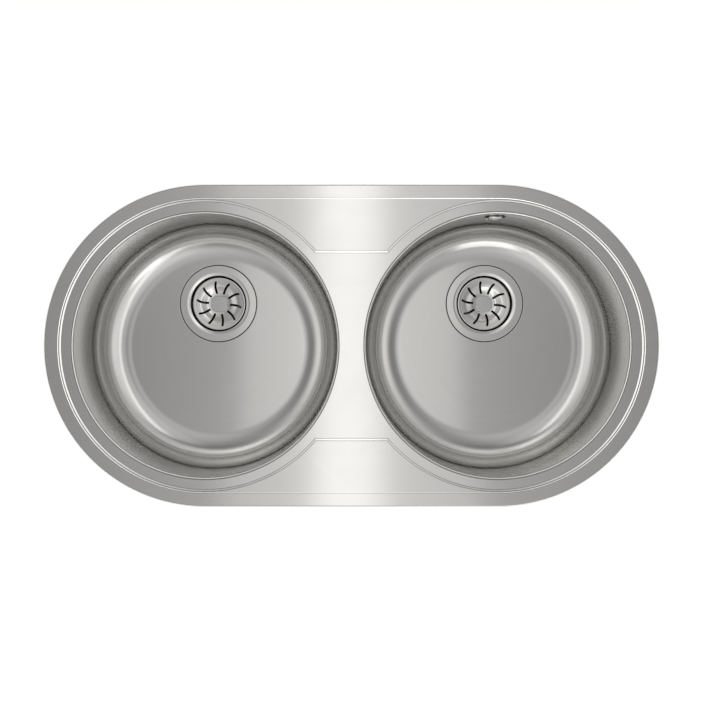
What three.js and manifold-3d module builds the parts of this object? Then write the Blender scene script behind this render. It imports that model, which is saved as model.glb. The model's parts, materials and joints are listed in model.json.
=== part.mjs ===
// Inset double bowl kitchen sink in stainless steel, with two 3 1/2 inch basket strainer wastes,
// an overflow on the right bowl and eight fixing clips.
// Units are millimetres. +X runs along the sink, +Y to the tap side, +Z up.
// The origin is the middle of the outline, in the plane of the worktop that the rim rests on.
import * as THREE from "three";
import { mergeVertices } from "three/addons/utils/BufferGeometryUtils.js";
import Module from "manifold-3d";

const wasm = await Module();
wasm.setup();

// ---------- Driving dimensions ----------

const SHEET = 0.8; // stainless sheet of the deck, the bowls and the strainers
const SEAT_GAP = 0.3; // between pieces that only rest against each other
const CUT_OVERSHOOT = 5; // how far a cutting solid runs past the face that it cuts

// Deck: the outline is two half circles round the bowl centres, joined by straights.
const OUTLINE_RADIUS = 220; // overall 840 by 440, with the bowls' sizes below
const RIM_HEIGHT = 5; // flat rim above the worktop
const LIP_FOOT = 0.5; // lower edge of the rolled lip above the worktop
const RIM_BAND = 18.5; // width of the rim up to the first pressed line
const LEDGE_DROP = 0.8; // from the rim down to the tap ledge
const LEDGE_SLOPE = 1.0; // width of that step
const DECK_DROP = 1.6; // from the tap ledge down to the bowl deck
const DECK_SLOPE = 4.0; // width of that step
const DECK_MARGIN = 0.8; // level strip between the two steps round the ends
const BRIDGE_HALF = 126.5; // half width of the low bridge between the bowls

// Bowls
const MOUTH_TO_OUTLINE = 40;
const MOUTH_RADIUS = OUTLINE_RADIUS - MOUTH_TO_OUTLINE; // inside, under the rounded edge
const BRIDGE_WIDTH = 40; // between the two bowls
const BOWL_SPACING = 2 * MOUTH_RADIUS + BRIDGE_WIDTH; // from bowl centre to bowl centre
const MOUTH_ROUND = 4; // radius of the rounded edge
const BOWL_DEPTH = 180; // from the rim to the bowl floor
const WALL_DRAFT = THREE.MathUtils.degToRad(0.6);
const FLOOR_ROUND = 50; // radius between wall and floor
const PAD_LENGTH = 150; // sound deadening pad under each bowl
const PAD_WIDTH = 84;
const PAD_CORNER = 12;
const PAD_THICKNESS = 2.5;
const PAD_TO_DRAIN = 119; // from the pad's middle to the drain's

// Strainer waste, one in each bowl
const DRAIN_TO_WALL = 116; // from the drain's middle to the bowl's edge at the taps
const CUP_RADIUS = 42; // inside the strainer cup
const DRAIN_HOLE = CUP_RADIUS + 3; // radius of the hole in the bowl floor
const FLANGE_RADIUS = CUP_RADIUS + 15.2;
const FLANGE_CLEARANCE = 0.8; // round the flange in its recess
const FLANGE_GASKET = 1.4;
const BODY_GASKET = 2.5;
const CUP_DEPTH = 42; // from the flange to the seat of the plug
const CUP_MOUTH_ROUND = 3.6;
const SEAT_OPENING = 20; // radius of the outlet that the plug closes
const STRAP_DROP = 6; // from the seat down to the strap that carries the centre screw
const STRAP_WIDTH = 9;
const STRAP_THICKNESS = 1.2;
const CHAMBER_CLEARANCE = 3.2; // round the strainer cup
const CHAMBER_RADIUS = CUP_RADIUS + SHEET + CHAMBER_CLEARANCE; // inside the plastic body
const BODY_WALL = 2.6;
const BODY_FLANGE = CHAMBER_RADIUS + 12;
const BODY_FLANGE_THICKNESS = 4;
const CHAMBER_DEPTH = 60; // from the bowl floor to the start of the funnel
const FUNNEL_DEPTH = 10;
const OUTLET_BORE = 20.5;
const OUTLET_THREAD = 23.9; // G 1 1/2
const OUTLET_LENGTH = 22;
const HUB_RADIUS = 6.5;
const HUB_HEIGHT = 6;
const SPOKE_WIDTH = 4;
const GUSSETS = 6;
const GUSSET_HEIGHT = 18;
const CENTRE_SCREW_RADIUS = 3;
const SCREW_HEAD_RADIUS = 5.2;
const SCREW_HEAD_HEIGHT = 2.6;

// Basket that drops into the cup
const DISH_RADIUS = CUP_RADIUS - 2.6;
const DISH_TOP = 9.7; // from the flange down to its rim
const DISH_RIM = 3; // width of its level rim
const DISH_DEPTH = 15.2; // from its rim down to its hub
const DISH_FLOOR_RISE = 0.8; // of its floor, from the hub to the foot of the flank
const DISH_FLOOR_RADIUS = DISH_RADIUS - 14.4; // where the flank rises from the floor
const HUB_RADIUS_FLAT = 14;
const SLOTS = 10;
const SLOT_WIDTH = 2.3;
const SLOT_INNER = 15.8;
const SLOT_OUTER = DISH_RADIUS - 5.4;
const SLOT_SWEEP = THREE.MathUtils.degToRad(-4.7); // turn of a slot's outer end from its inner end
const SLOT_BULGE = THREE.MathUtils.degToRad(3); // turn of its middle from the line between the ends
const SLOT_PHASE = THREE.MathUtils.degToRad(-5.8); // where the first slot starts, from +X
const KNOB_WIDTH = 24.5;
const KNOB_CORNER = 9;
const KNOB_BELOW_RIM = 0.5; // from the dish's rim down to the top of the grip
const KNOB_EDGE = 4; // height of its thick edge
const KNOB_WAIST = 3.2; // how far it draws in below that edge
const KNOB_ROUND = 1.2;
const STEM_RADIUS = 4;
const PLUG_RADIUS = SEAT_OPENING + 4; // rubber plug that closes the outlet
const PLUG_THICKNESS = 4;

// Overflow, on the tap side of the right bowl
const OVERFLOW_DEPTH = 38; // from the rim to the middle of the overflow
const DIMPLE_RADIUS = 17; // round recess pressed into the wall
const DIMPLE_DEPTH = 2;
const OVERFLOW_HOLE = 13;
const COVER_RADIUS = 15.8; // of its foot, which lies in the recess
const COVER_FACE_RADIUS = 13.4;
const COVER_HEIGHT = 6.1; // from the recess to its face, which stands proud of the wall
const COVER_THICKNESS = 1;
const COVER_SEAT_RADIUS = 4.6; // pressed seat for the screw head
const COVER_SEAT_DEPTH = 1.8;
const COVER_SLOTS = 4;
const COVER_SLOT_INNER = 5.8;
const COVER_SLOT_OUTER = 10;
const OVERFLOW_GASKET = 2.5;
const HOUSING_RADIUS = 20;
const HOUSING_DEPTH = 25;
const HOUSING_WALL = 2;
const SPIGOT_RADIUS = 8.7; // outside
const SPIGOT_BORE = 6.7;
const SPIGOT_LENGTH = 20;
const HOSE_VALLEY = 10;
const HOSE_CREST = 11.6;
const HOSE_PITCH = 5;
const HOSE_BEND = 50;
const HOSE_SIDES = 8;
const HOSE_BEND_STEPS = 8; // of its bore round the bend
const NUT_WALL = 3;
const NUT_LENGTH = 13;
const NUT_SIDES = 12;

// Rim seal and fixing clips; the clips hold worktops of 18 to 40 mm
const RIM_OVERLAP = 10; // of the rim on the worktop, round a cut-out of 820 by 420
const SEAL_INSET = 5.5; // from the outline to the seal
const SEAL_WIDTH = 8;
const THICKEST_WORKTOP = 40;
const CLIP_TRAVEL = 22;
const CLIP_HEADROOM = 1.5; // over the screw and under the hanger when the claw is right up
const CLIP_STEEL = 1.5;
const CLIP_END_ANGLE = THREE.MathUtils.degToRad(50); // from the long axis, round each end
const CLIP_STRAIGHT_X = 100; // from the middle, along each side
const HANGER_WIDTH = 14;
const HANGER_CLEARANCE = 2.5; // from the rounded edge of the bowl's mouth
const HANGER_FOOT = 8;
const HANGER_DEPTH = 16.5; // across the rim
const SCREW_TO_HANGER = 10; // from the hanger's back to the screw's axis
const CLIP_SCREW_RADIUS = 2.5;
const CLIP_HEAD_RADIUS = 4.6;
const CLIP_HEAD_HEIGHT = 3.2;
const CLAW_BACK = 0.5; // how far it starts behind the hanger
const CLAW_BITE = 8; // how far it reaches under the worktop
const CLAW_TEETH = 2;
const TOOTH_HEIGHT = 1.8;
const CLAW_SHOULDER = 10; // how far the inner part of the claw's sides stands above the teeth

// Facets
const ROUND_STEPS = 36; // round a bowl
const END_STEPS = 18; // round one end of the deck
const FLOOR_ROUND_STEPS = 4; // from a bowl's wall to its floor
const WASTE_STEPS = 24;
const DISH_STEPS = 20;
const GASKET_STEPS = 16;
const CLIP_SCREW_STEPS = 6;
const SMALL_STEPS = 8;

// ---------- Finishes ----------

const finish = (colour, roughness, metalness) =>
  new THREE.MeshStandardMaterial({ color: colour, roughness, metalness });
const SATIN_STEEL = finish(0xb9b8b4, 0.32, 1);
const BRIGHT_STEEL = finish(0xc9c9c6, 0.18, 1);
const ZINC_STEEL = finish(0xa9adb0, 0.4, 1);
const BLACK_RUBBER = finish(0x1b1b1c, 0.85, 0);
const GREY_FOAM = finish(0x4a4b4d, 0.95, 0);
const BITUMEN = finish(0x2e2f31, 0.9, 0);
const WHITE_PLASTIC = finish(0xdcdcd8, 0.45, 0);
const CHROME_PLASTIC = finish(0xc6c6c3, 0.22, 1);

// ---------- Solid helpers ----------

// A closed three.js geometry as a solid for booleans, turned outwards if its faces point in.
function solid(geometry) {
  const bare = geometry.clone();
  bare.deleteAttribute("normal");
  bare.deleteAttribute("uv");
  const merged = mergeVertices(bare, 1e-4);
  const corners = merged.index.array;
  const faces = [];
  for (let i = 0; i < corners.length; i += 3) {
    const [a, b, c] = [corners[i], corners[i + 1], corners[i + 2]];
    if (a !== b && b !== c && c !== a) faces.push([a, b, c]);
  }
  const made = manifoldOf(merged.attributes.position.array, faces);
  if (made.volume() > 0) return made;
  return manifoldOf(merged.attributes.position.array, faces.map(([a, b, c]) => [a, c, b]));
}

function manifoldOf(positions, faces) {
  const vertProperties = new Float32Array(positions);
  const triVerts = new Uint32Array(faces.flat());
  return new wasm.Manifold(new wasm.Mesh({ numProp: 3, vertProperties, triVerts }));
}

function geometryOf(made) {
  const { numProp, numVert, vertProperties, triVerts } = made.getMesh();
  const positions = new Float32Array(numVert * 3);
  for (let i = 0; i < numVert; i++) {
    positions.set(vertProperties.subarray(i * numProp, i * numProp + 3), i * 3);
  }
  const geometry = new THREE.BufferGeometry();
  geometry.setAttribute("position", new THREE.BufferAttribute(positions, 3));
  geometry.setIndex(new THREE.BufferAttribute(triVerts, 1));
  geometry.computeVertexNormals();
  return geometry;
}

const joined = (...solids) => solids.reduce((all, next) => all.add(next));
const moved = (made, x, y, z) => made.translate([x, y, z]);

// A closed profile of [radius, height] points turned round +Z.
function revolved(profile, steps) {
  const closed = [...profile, profile[0]].map(([radius, height]) => new THREE.Vector2(radius, height));
  return solid(new THREE.LatheGeometry(closed, steps).rotateX(Math.PI / 2));
}

// A flat shape in XY, from height low to height high.
function prism(shape, low, high, curveSegments = SMALL_STEPS) {
  const options = { depth: high - low, bevelEnabled: false, curveSegments };
  return solid(new THREE.ExtrudeGeometry(shape, options).translate(0, 0, low));
}

function cylinder(radius, low, high, steps) {
  return revolved([[0, low], [radius, low], [radius, high], [0, high]], steps);
}

function ring(inner, outer, low, high, steps) {
  return revolved([[inner, low], [outer, low], [outer, high], [inner, high]], steps);
}

function box(xLow, xHigh, yLow, yHigh, zLow, zHigh) {
  const size = [xHigh - xLow, yHigh - yLow, zHigh - zLow];
  const centre = [(xLow + xHigh) / 2, (yLow + yHigh) / 2, (zLow + zHigh) / 2];
  return solid(new THREE.BoxGeometry(...size).translate(...centre));
}

// Outlines with the same number of points, one above the other, skinned into a closed solid.
function lofted(layers) {
  const count = layers[0].outline.length;
  const positions = layers.flatMap(({ outline, z }) => outline.flatMap((p) => [p.x, p.y, z]));
  const faces = [];
  for (let layer = 0; layer + 1 < layers.length; layer++) {
    for (let i = 0; i < count; i++) {
      const [a, b] = [layer * count + i, layer * count + ((i + 1) % count)];
      faces.push([a, b, b + count], [a, b + count, a + count]);
    }
  }
  const top = (layers.length - 1) * count;
  for (const [a, b, c] of THREE.ShapeUtils.triangulateShape(layers[0].outline, [])) {
    faces.push([c, b, a]);
  }
  for (const [a, b, c] of THREE.ShapeUtils.triangulateShape(layers.at(-1).outline, [])) {
    faces.push([top + a, top + b, top + c]);
  }
  return manifoldOf(positions, faces);
}

// Points of an arc in a profile, from one angle to another, both in radians.
function arcPoints(centreX, centreY, radius, from, to, steps) {
  return Array.from({ length: steps + 1 }, (_, i) => {
    const angle = THREE.MathUtils.lerp(from, to, i / steps);
    return [centreX + radius * Math.cos(angle), centreY + radius * Math.sin(angle)];
  });
}

const assembly = new THREE.Group();

function addPiece(name, made, material) {
  const mesh = new THREE.Mesh(geometryOf(made), material);
  mesh.name = name;
  assembly.add(mesh);
  return mesh;
}

// ---------- Deck ----------

const HALF_SPACING = BOWL_SPACING / 2;
const DRAIN_OFFSET = MOUTH_RADIUS - DRAIN_TO_WALL; // from the bowl centre towards the taps
const PAD_CENTRE = DRAIN_OFFSET - PAD_TO_DRAIN;
const CUTOUT_RADIUS = OUTLINE_RADIUS - RIM_OVERLAP;
const LEDGE_LEVEL = RIM_HEIGHT - LEDGE_DROP;
const DECK_LEVEL = LEDGE_LEVEL - DECK_DROP;
const LEDGE_RADIUS = OUTLINE_RADIUS - RIM_BAND - LEDGE_SLOPE; // where the tap ledge starts
const DECK_TOP_RADIUS = LEDGE_RADIUS - DECK_MARGIN;
const DECK_FOOT_RADIUS = DECK_TOP_RADIUS - DECK_SLOPE + DECK_MARGIN;
const COLLAR_FOOT = DECK_LEVEL - MOUTH_ROUND; // where the bowl is welded to the deck
const COLLAR_OVERLAP = 1; // how far the collar's section runs into the deck sheet

// Two half circles round the bowl centres, joined by straights.
function stadium(radius) {
  const shape = new THREE.Shape();
  shape.absarc(HALF_SPACING, 0, radius, -Math.PI / 2, Math.PI / 2, false);
  shape.absarc(-HALF_SPACING, 0, radius, Math.PI / 2, 1.5 * Math.PI, false);
  return shape;
}

// A circle round each bowl, joined by a bridge of the given half width.
function dumbbell(radius, bridgeHalf) {
  const reach = Math.PI - Math.asin(bridgeHalf / radius);
  const shape = new THREE.Shape();
  shape.absarc(HALF_SPACING, 0, radius, -reach, reach, false);
  shape.absarc(-HALF_SPACING, 0, radius, Math.PI - reach, Math.PI + reach, false);
  return shape;
}

const layer = (shape, z) => ({ outline: shape.getPoints(END_STEPS / 2), z });

// Everything under the pressed surface of the deck, with that surface lowered by drop.
function blockUnderDeck(drop, foot) {
  const lip = [
    [0, foot],
    [0, 1.7 - drop],
    [1.2, 4.1 - drop],
    [4, RIM_HEIGHT - drop],
  ];
  const block = lofted(lip.map(([inset, z]) => layer(stadium(OUTLINE_RADIUS - drop - inset), z)));
  const above = RIM_HEIGHT + CUT_OVERSHOOT;
  const rimEdge = stadium(LEDGE_RADIUS + LEDGE_SLOPE);
  const ledge = lofted([
    layer(stadium(LEDGE_RADIUS), LEDGE_LEVEL - drop),
    layer(rimEdge, RIM_HEIGHT - drop),
    layer(rimEdge, above),
  ]);
  const deckEdge = dumbbell(DECK_TOP_RADIUS, BRIDGE_HALF + DECK_SLOPE);
  const lowDeck = lofted([
    layer(dumbbell(DECK_FOOT_RADIUS, BRIDGE_HALF), DECK_LEVEL - drop),
    layer(deckEdge, LEDGE_LEVEL - drop),
    layer(deckEdge, above),
  ]);
  return block.subtract(ledge).subtract(lowDeck);
}

// The rounded edge that turns down into a bowl.
function mouthCollar() {
  const centre = MOUTH_RADIUS + MOUTH_ROUND;
  const outerEnd = centre + 2 * COLLAR_OVERLAP;
  return revolved(
    [
      [outerEnd, DECK_LEVEL],
      ...arcPoints(centre, COLLAR_FOOT, MOUTH_ROUND, Math.PI / 2, Math.PI, 2),
      ...arcPoints(centre, COLLAR_FOOT, MOUTH_ROUND - SHEET, Math.PI, Math.PI / 2, 2),
      [outerEnd, DECK_LEVEL - SHEET],
    ],
    ROUND_STEPS,
  );
}

function deck() {
  let sheet = blockUnderDeck(0, LIP_FOOT).subtract(blockUnderDeck(SHEET, LIP_FOOT - CUT_OVERSHOOT));
  const openingRadius = MOUTH_RADIUS + MOUTH_ROUND + COLLAR_OVERLAP;
  for (const x of [-HALF_SPACING, HALF_SPACING]) {
    const opening = cylinder(openingRadius, -CUT_OVERSHOOT, RIM_HEIGHT + CUT_OVERSHOOT, ROUND_STEPS);
    sheet = sheet.subtract(moved(opening, x, 0, 0)).add(moved(mouthCollar(), x, 0, 0));
  }
  return sheet;
}

addPiece("deck", deck(), SATIN_STEEL);

const sealRing = stadium(OUTLINE_RADIUS - SEAL_INSET);
const sealHole = stadium(OUTLINE_RADIUS - SEAL_INSET - SEAL_WIDTH);
sealRing.holes.push(new THREE.Path(sealHole.getPoints(END_STEPS / 2)));
addPiece("rim_seal", prism(sealRing, 0, RIM_HEIGHT - SHEET, END_STEPS / 2), GREY_FOAM);

// ---------- Bowls ----------

const FLOOR_LEVEL = RIM_HEIGHT - BOWL_DEPTH;
const WALL_RUN = COLLAR_FOOT - (FLOOR_LEVEL + FLOOR_ROUND * (1 - Math.sin(WALL_DRAFT)));
const WALL_FOOT_RADIUS = MOUTH_RADIUS - WALL_RUN * Math.tan(WALL_DRAFT);
const FLOOR_RADIUS = WALL_FOOT_RADIUS - FLOOR_ROUND * Math.cos(WALL_DRAFT);
const RECESS_DEPTH = SHEET + FLANGE_GASKET; // so that the strainer's flange lies flush
const RECESS_RADIUS = FLANGE_RADIUS + FLANGE_CLEARANCE;
const OVERFLOW_Z = RIM_HEIGHT - OVERFLOW_DEPTH;
const wallRadiusAt = (z) => MOUTH_RADIUS - (COLLAR_FOOT - z) * Math.tan(WALL_DRAFT);
const DIMPLE_FACE = wallRadiusAt(OVERFLOW_Z) + DIMPLE_DEPTH; // inside face of the recess

// The space inside the bowl, grown by offset, with its top at the given height.
function bowlFill(offset, top) {
  const centreZ = FLOOR_LEVEL + FLOOR_ROUND;
  const radius = FLOOR_ROUND + offset;
  const round = arcPoints(FLOOR_RADIUS, centreZ, radius, -Math.PI / 2, -WALL_DRAFT, FLOOR_ROUND_STEPS);
  const mouth = wallRadiusAt(top) + offset / Math.cos(WALL_DRAFT);
  return revolved([[0, FLOOR_LEVEL - offset], ...round, [mouth, top], [0, top]], ROUND_STEPS);
}

// A disc that faces the bowl's rear wall, from distance near to distance far from the bowl centre.
function rearDisc(radius, near, far, steps) {
  const lying = cylinder(radius, near, far, steps).rotate([-90, 0, 0]);
  return moved(lying, 0, 0, OVERFLOW_Z);
}

function bowl(hasOverflow) {
  const recessFloor = FLOOR_LEVEL - RECESS_DEPTH;
  const recess = (radius, low) =>
    moved(cylinder(radius, low, FLOOR_LEVEL, WASTE_STEPS), 0, DRAIN_OFFSET, 0);
  let outside = bowlFill(SHEET, COLLAR_FOOT).add(recess(RECESS_RADIUS + SHEET, recessFloor - SHEET));
  let inside = joined(
    bowlFill(0, COLLAR_FOOT + CUT_OVERSHOOT),
    recess(RECESS_RADIUS, recessFloor),
    recess(DRAIN_HOLE, recessFloor - CUT_OVERSHOOT),
  );
  if (hasOverflow) {
    const within = DIMPLE_FACE - 4 * DIMPLE_DEPTH;
    outside = outside.add(rearDisc(DIMPLE_RADIUS + SHEET, within, DIMPLE_FACE + SHEET, WASTE_STEPS));
    inside = joined(
      inside,
      rearDisc(DIMPLE_RADIUS, within, DIMPLE_FACE, WASTE_STEPS),
      rearDisc(OVERFLOW_HOLE, within, DIMPLE_FACE + CUT_OVERSHOOT, WASTE_STEPS),
    );
  }
  return outside.subtract(inside);
}

function roundedRectangle(length, width, corner) {
  const [x, y] = [length / 2 - corner, width / 2 - corner];
  const shape = new THREE.Shape();
  shape.absarc(x, y, corner, 0, Math.PI / 2, false);
  shape.absarc(-x, y, corner, Math.PI / 2, Math.PI, false);
  shape.absarc(-x, -y, corner, Math.PI, 1.5 * Math.PI, false);
  shape.absarc(x, -y, corner, 1.5 * Math.PI, 2 * Math.PI, false);
  return shape;
}

function soundPad() {
  const under = FLOOR_LEVEL - SHEET;
  const pad = prism(roundedRectangle(PAD_LENGTH, PAD_WIDTH, PAD_CORNER), under - PAD_THICKNESS, under, 3);
  return moved(pad, 0, PAD_CENTRE, 0);
}

// ---------- Strainer waste ----------
// Its pieces are made round the drain's axis, with z = 0 at the bowl floor.

const FLANGE_UNDER = -SHEET;
const GASKET_UNDER = FLANGE_UNDER - FLANGE_GASKET;
const RECESS_UNDER = GASKET_UNDER - SHEET;
const BODY_TOP = RECESS_UNDER - BODY_GASKET;
const FLANGE_GASKET_INNER = (CUP_RADIUS + CUP_MOUTH_ROUND + SEAT_GAP) / Math.cos(Math.PI / GASKET_STEPS);
const SEAT_LEVEL = -CUP_DEPTH;
const STRAP_TOP = SEAT_LEVEL - STRAP_DROP;
const STRAP_FOOT = STRAP_TOP - STRAP_THICKNESS;
const OUTLET_TOP = -CHAMBER_DEPTH - FUNNEL_DEPTH;
const OUTLET_FOOT = OUTLET_TOP - OUTLET_LENGTH;

// Profile of the cup's inside, offset outwards, from the flange to the collar of the outlet.
function cupFace(offset) {
  const mouthCentre = CUP_RADIUS + CUP_MOUTH_ROUND;
  const cornerRound = 6;
  const cornerX = CUP_RADIUS - 1 - cornerRound;
  const cornerZ = SEAT_LEVEL + cornerRound;
  return [
    [FLANGE_RADIUS, -offset],
    ...arcPoints(mouthCentre, -CUP_MOUTH_ROUND, CUP_MOUTH_ROUND - offset, Math.PI / 2, Math.PI, 2),
    ...arcPoints(cornerX, cornerZ, cornerRound + offset, -Math.PI / 12, (-5 * Math.PI) / 12, 1),
    [SEAT_OPENING + offset, SEAT_LEVEL - offset],
    [SEAT_OPENING + offset, STRAP_FOOT],
  ];
}

function strainerCup() {
  const shell = revolved([...cupFace(0), ...cupFace(SHEET).reverse()], WASTE_STEPS);
  const reach = SEAT_OPENING + SHEET / 2;
  const strap = box(-reach, reach, -STRAP_WIDTH / 2, STRAP_WIDTH / 2, STRAP_FOOT, STRAP_TOP);
  const hole = cylinder(CENTRE_SCREW_RADIUS + SEAT_GAP, STRAP_FOOT - 1, STRAP_TOP + 1, SMALL_STEPS);
  return shell.add(strap).subtract(hole);
}

function centreScrew() {
  const headTop = STRAP_TOP + SEAT_GAP + SCREW_HEAD_HEIGHT;
  const headFoot = STRAP_TOP + SEAT_GAP;
  const tip = OUTLET_TOP - HUB_HEIGHT - 2;
  return revolved(
    [
      [0, headTop],
      [0, tip],
      [CENTRE_SCREW_RADIUS, tip],
      [CENTRE_SCREW_RADIUS, headFoot],
      [SCREW_HEAD_RADIUS, headFoot],
      [SCREW_HEAD_RADIUS, headTop - 0.8],
      [SCREW_HEAD_RADIUS - 0.8, headTop],
    ],
    SMALL_STEPS,
  );
}

// A tube that points towards the taps, for the overflow hose.
function rearTube(outer, bore, near, far, z) {
  const tube = ring(bore, outer, near, far, HOSE_SIDES * 2).rotate([-90, 0, 0]);
  return moved(tube, 0, 0, z);
}

const SIDE_INLET_Z = -47; // below the bowl floor
const INLET_FACE = CHAMBER_RADIUS + BODY_WALL; // outside of the chamber
const INLET_END = INLET_FACE + SPIGOT_LENGTH;

function wasteBody(hasInlet) {
  const chamberOuter = CHAMBER_RADIUS + BODY_WALL;
  const flangeFoot = BODY_TOP - BODY_FLANGE_THICKNESS;
  let body = revolved(
    [
      [CHAMBER_RADIUS, BODY_TOP],
      [BODY_FLANGE, BODY_TOP],
      [BODY_FLANGE, flangeFoot],
      [chamberOuter, flangeFoot],
      [chamberOuter, -CHAMBER_DEPTH],
      [OUTLET_THREAD + BODY_WALL, OUTLET_TOP],
      [OUTLET_THREAD, OUTLET_TOP - 2],
      [OUTLET_THREAD, OUTLET_FOOT],
      [OUTLET_BORE, OUTLET_FOOT],
      [OUTLET_BORE, OUTLET_TOP + 1],
      [CHAMBER_RADIUS, -CHAMBER_DEPTH + 2],
    ],
    WASTE_STEPS,
  );
  const gusset = new THREE.Shape([
    new THREE.Vector2(chamberOuter - BODY_WALL / 2, flangeFoot + 1),
    new THREE.Vector2(chamberOuter - BODY_WALL / 2, flangeFoot - GUSSET_HEIGHT),
    new THREE.Vector2(chamberOuter, flangeFoot - GUSSET_HEIGHT),
    new THREE.Vector2(BODY_FLANGE - 1, flangeFoot + 1),
  ]);
  for (let i = 0; i < GUSSETS; i++) {
    const rib = prism(gusset, -1, 1).rotate([90, 0, (i + 0.5) * (360 / GUSSETS)]);
    body = body.add(rib);
  }
  const spokeReach = OUTLET_BORE + 1;
  const spokes = joined(
    box(-spokeReach, spokeReach, -SPOKE_WIDTH / 2, SPOKE_WIDTH / 2, OUTLET_TOP - HUB_HEIGHT, OUTLET_TOP),
    box(-SPOKE_WIDTH / 2, SPOKE_WIDTH / 2, -spokeReach, spokeReach, OUTLET_TOP - HUB_HEIGHT, OUTLET_TOP),
    cylinder(HUB_RADIUS, OUTLET_TOP - HUB_HEIGHT, OUTLET_TOP, SMALL_STEPS),
  );
  const screwHole = cylinder(
    CENTRE_SCREW_RADIUS + SEAT_GAP,
    OUTLET_TOP - HUB_HEIGHT - 1,
    OUTLET_TOP + 1,
    SMALL_STEPS,
  );
  body = body.add(spokes).subtract(screwHole);
  if (!hasInlet) return body;
  const spigot = rearTube(SPIGOT_RADIUS, SPIGOT_BORE, CHAMBER_RADIUS + 1, INLET_END, SIDE_INLET_Z);
  const bore = rearTube(SPIGOT_BORE, 0, CHAMBER_RADIUS - BODY_WALL, INLET_END + 1, SIDE_INLET_Z);
  return body.add(spigot).subtract(bore);
}

// ---------- Basket ----------

const DISH_RIM_TOP = -DISH_TOP;
const HUB_TOP = DISH_RIM_TOP - DISH_DEPTH;
const KNOB_FOOT = HUB_TOP + SEAT_GAP;
const KNOB_TOP = DISH_RIM_TOP - KNOB_BELOW_RIM;

// The dish's upper face from the hole in its hub to its edge.
function dishFace() {
  const flankFoot = HUB_TOP + DISH_FLOOR_RISE;
  const flankTop = DISH_RADIUS - DISH_RIM;
  return [
    [STEM_RADIUS + SEAT_GAP, HUB_TOP],
    [HUB_RADIUS_FLAT, HUB_TOP],
    [DISH_FLOOR_RADIUS - 1, flankFoot],
    [DISH_FLOOR_RADIUS + 1.6, flankFoot + 1.7],
    [flankTop - 1.8, DISH_RIM_TOP - 2],
    [flankTop, DISH_RIM_TOP],
    [DISH_RADIUS, DISH_RIM_TOP],
  ];
}

// An open profile pushed square to itself to its right-hand side, as far as the sheet is thick.
function sheetBack(profile, thickness) {
  const points = profile.map(([x, y]) => new THREE.Vector2(x, y));
  const rightOf = (a, b) => new THREE.Vector2(b.y - a.y, a.x - b.x).normalize();
  return points.map((point, i) => {
    const before = rightOf(points[Math.max(i - 1, 0)], points[Math.max(i, 1)]);
    const after = rightOf(points[Math.min(i, points.length - 2)], points[Math.min(i + 1, points.length - 1)]);
    const mitre = before.clone().add(after).normalize();
    const offset = mitre.multiplyScalar(thickness / mitre.dot(before));
    return [point.x + offset.x, point.y + offset.y];
  });
}

// A slot's outline: a band along a bent line from near the hub to near the rim.
function slotShape(index) {
  const start = SLOT_PHASE + (index * 2 * Math.PI) / SLOTS;
  const along = (t) => {
    const radius = THREE.MathUtils.lerp(SLOT_INNER, SLOT_OUTER, t);
    const angle = start + SLOT_SWEEP * t + SLOT_BULGE * 4 * t * (1 - t);
    return new THREE.Vector2(radius * Math.cos(angle), radius * Math.sin(angle));
  };
  const line = [0, 0.5, 1].map(along);
  const side = (sign) =>
    line.map((point, i) => {
      const ahead = line[Math.min(i + 1, line.length - 1)];
      const behind = line[Math.max(i - 1, 0)];
      const across = ahead.clone().sub(behind).normalize().rotateAround(new THREE.Vector2(), Math.PI / 2);
      return point.clone().addScaledVector(across, (sign * SLOT_WIDTH) / 2);
    });
  return new THREE.Shape([...side(1), ...side(-1).reverse()]);
}

function basketDish() {
  const face = dishFace();
  let dish = revolved([...face, ...sheetBack(face, SHEET).reverse()], DISH_STEPS);
  const deepest = HUB_TOP - 2 * SHEET;
  for (let i = 0; i < SLOTS; i++) dish = dish.subtract(prism(slotShape(i), deepest, 0));
  return dish;
}

// The grip in the middle of the basket: a square with round corners, drawn in below its edge.
function basketKnob() {
  const section = (inset, z) => {
    const width = KNOB_WIDTH - 2 * inset;
    return { outline: roundedRectangle(width, width, KNOB_CORNER - inset).getPoints(2), z };
  };
  return lofted([
    section(KNOB_WAIST - KNOB_ROUND, KNOB_FOOT),
    section(KNOB_WAIST, (KNOB_FOOT + KNOB_TOP - KNOB_EDGE) / 2),
    section(0, KNOB_TOP - KNOB_EDGE),
    section(0, KNOB_TOP - KNOB_ROUND),
    section(KNOB_ROUND, KNOB_TOP),
  ]);
}

const PLUG_FOOT = SEAT_LEVEL + SEAT_GAP;
const PLUG_TOP = PLUG_FOOT + PLUG_THICKNESS;

function basketStem() {
  const pinTop = KNOB_FOOT - SEAT_GAP;
  const shoulder = HUB_TOP - SHEET - SEAT_GAP;
  const plateFoot = PLUG_TOP + SEAT_GAP;
  const headTop = PLUG_FOOT - SEAT_GAP;
  return revolved(
    [
      [0, pinTop],
      [0, headTop - 1.5],
      [6.5, headTop - 1.5],
      [6.5, headTop],
      [STEM_RADIUS, headTop],
      [STEM_RADIUS, plateFoot],
      [15, plateFoot],
      [13, plateFoot + 2.4],
      [STEM_RADIUS + 1, plateFoot + 3.4],
      [STEM_RADIUS + 1, shoulder - 2],
      [9, shoulder - 2],
      [9, shoulder],
      [STEM_RADIUS, shoulder],
      [STEM_RADIUS, pinTop],
    ],
    SMALL_STEPS,
  );
}

function basketPlug() {
  return revolved(
    [
      [STEM_RADIUS + SEAT_GAP, PLUG_FOOT],
      [PLUG_RADIUS - 2, PLUG_FOOT],
      [PLUG_RADIUS, PLUG_FOOT + 1],
      [PLUG_RADIUS - 1, PLUG_FOOT + 2],
      [PLUG_RADIUS - 6, PLUG_TOP],
      [STEM_RADIUS + SEAT_GAP, PLUG_TOP],
    ],
    GASKET_STEPS,
  );
}

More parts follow.
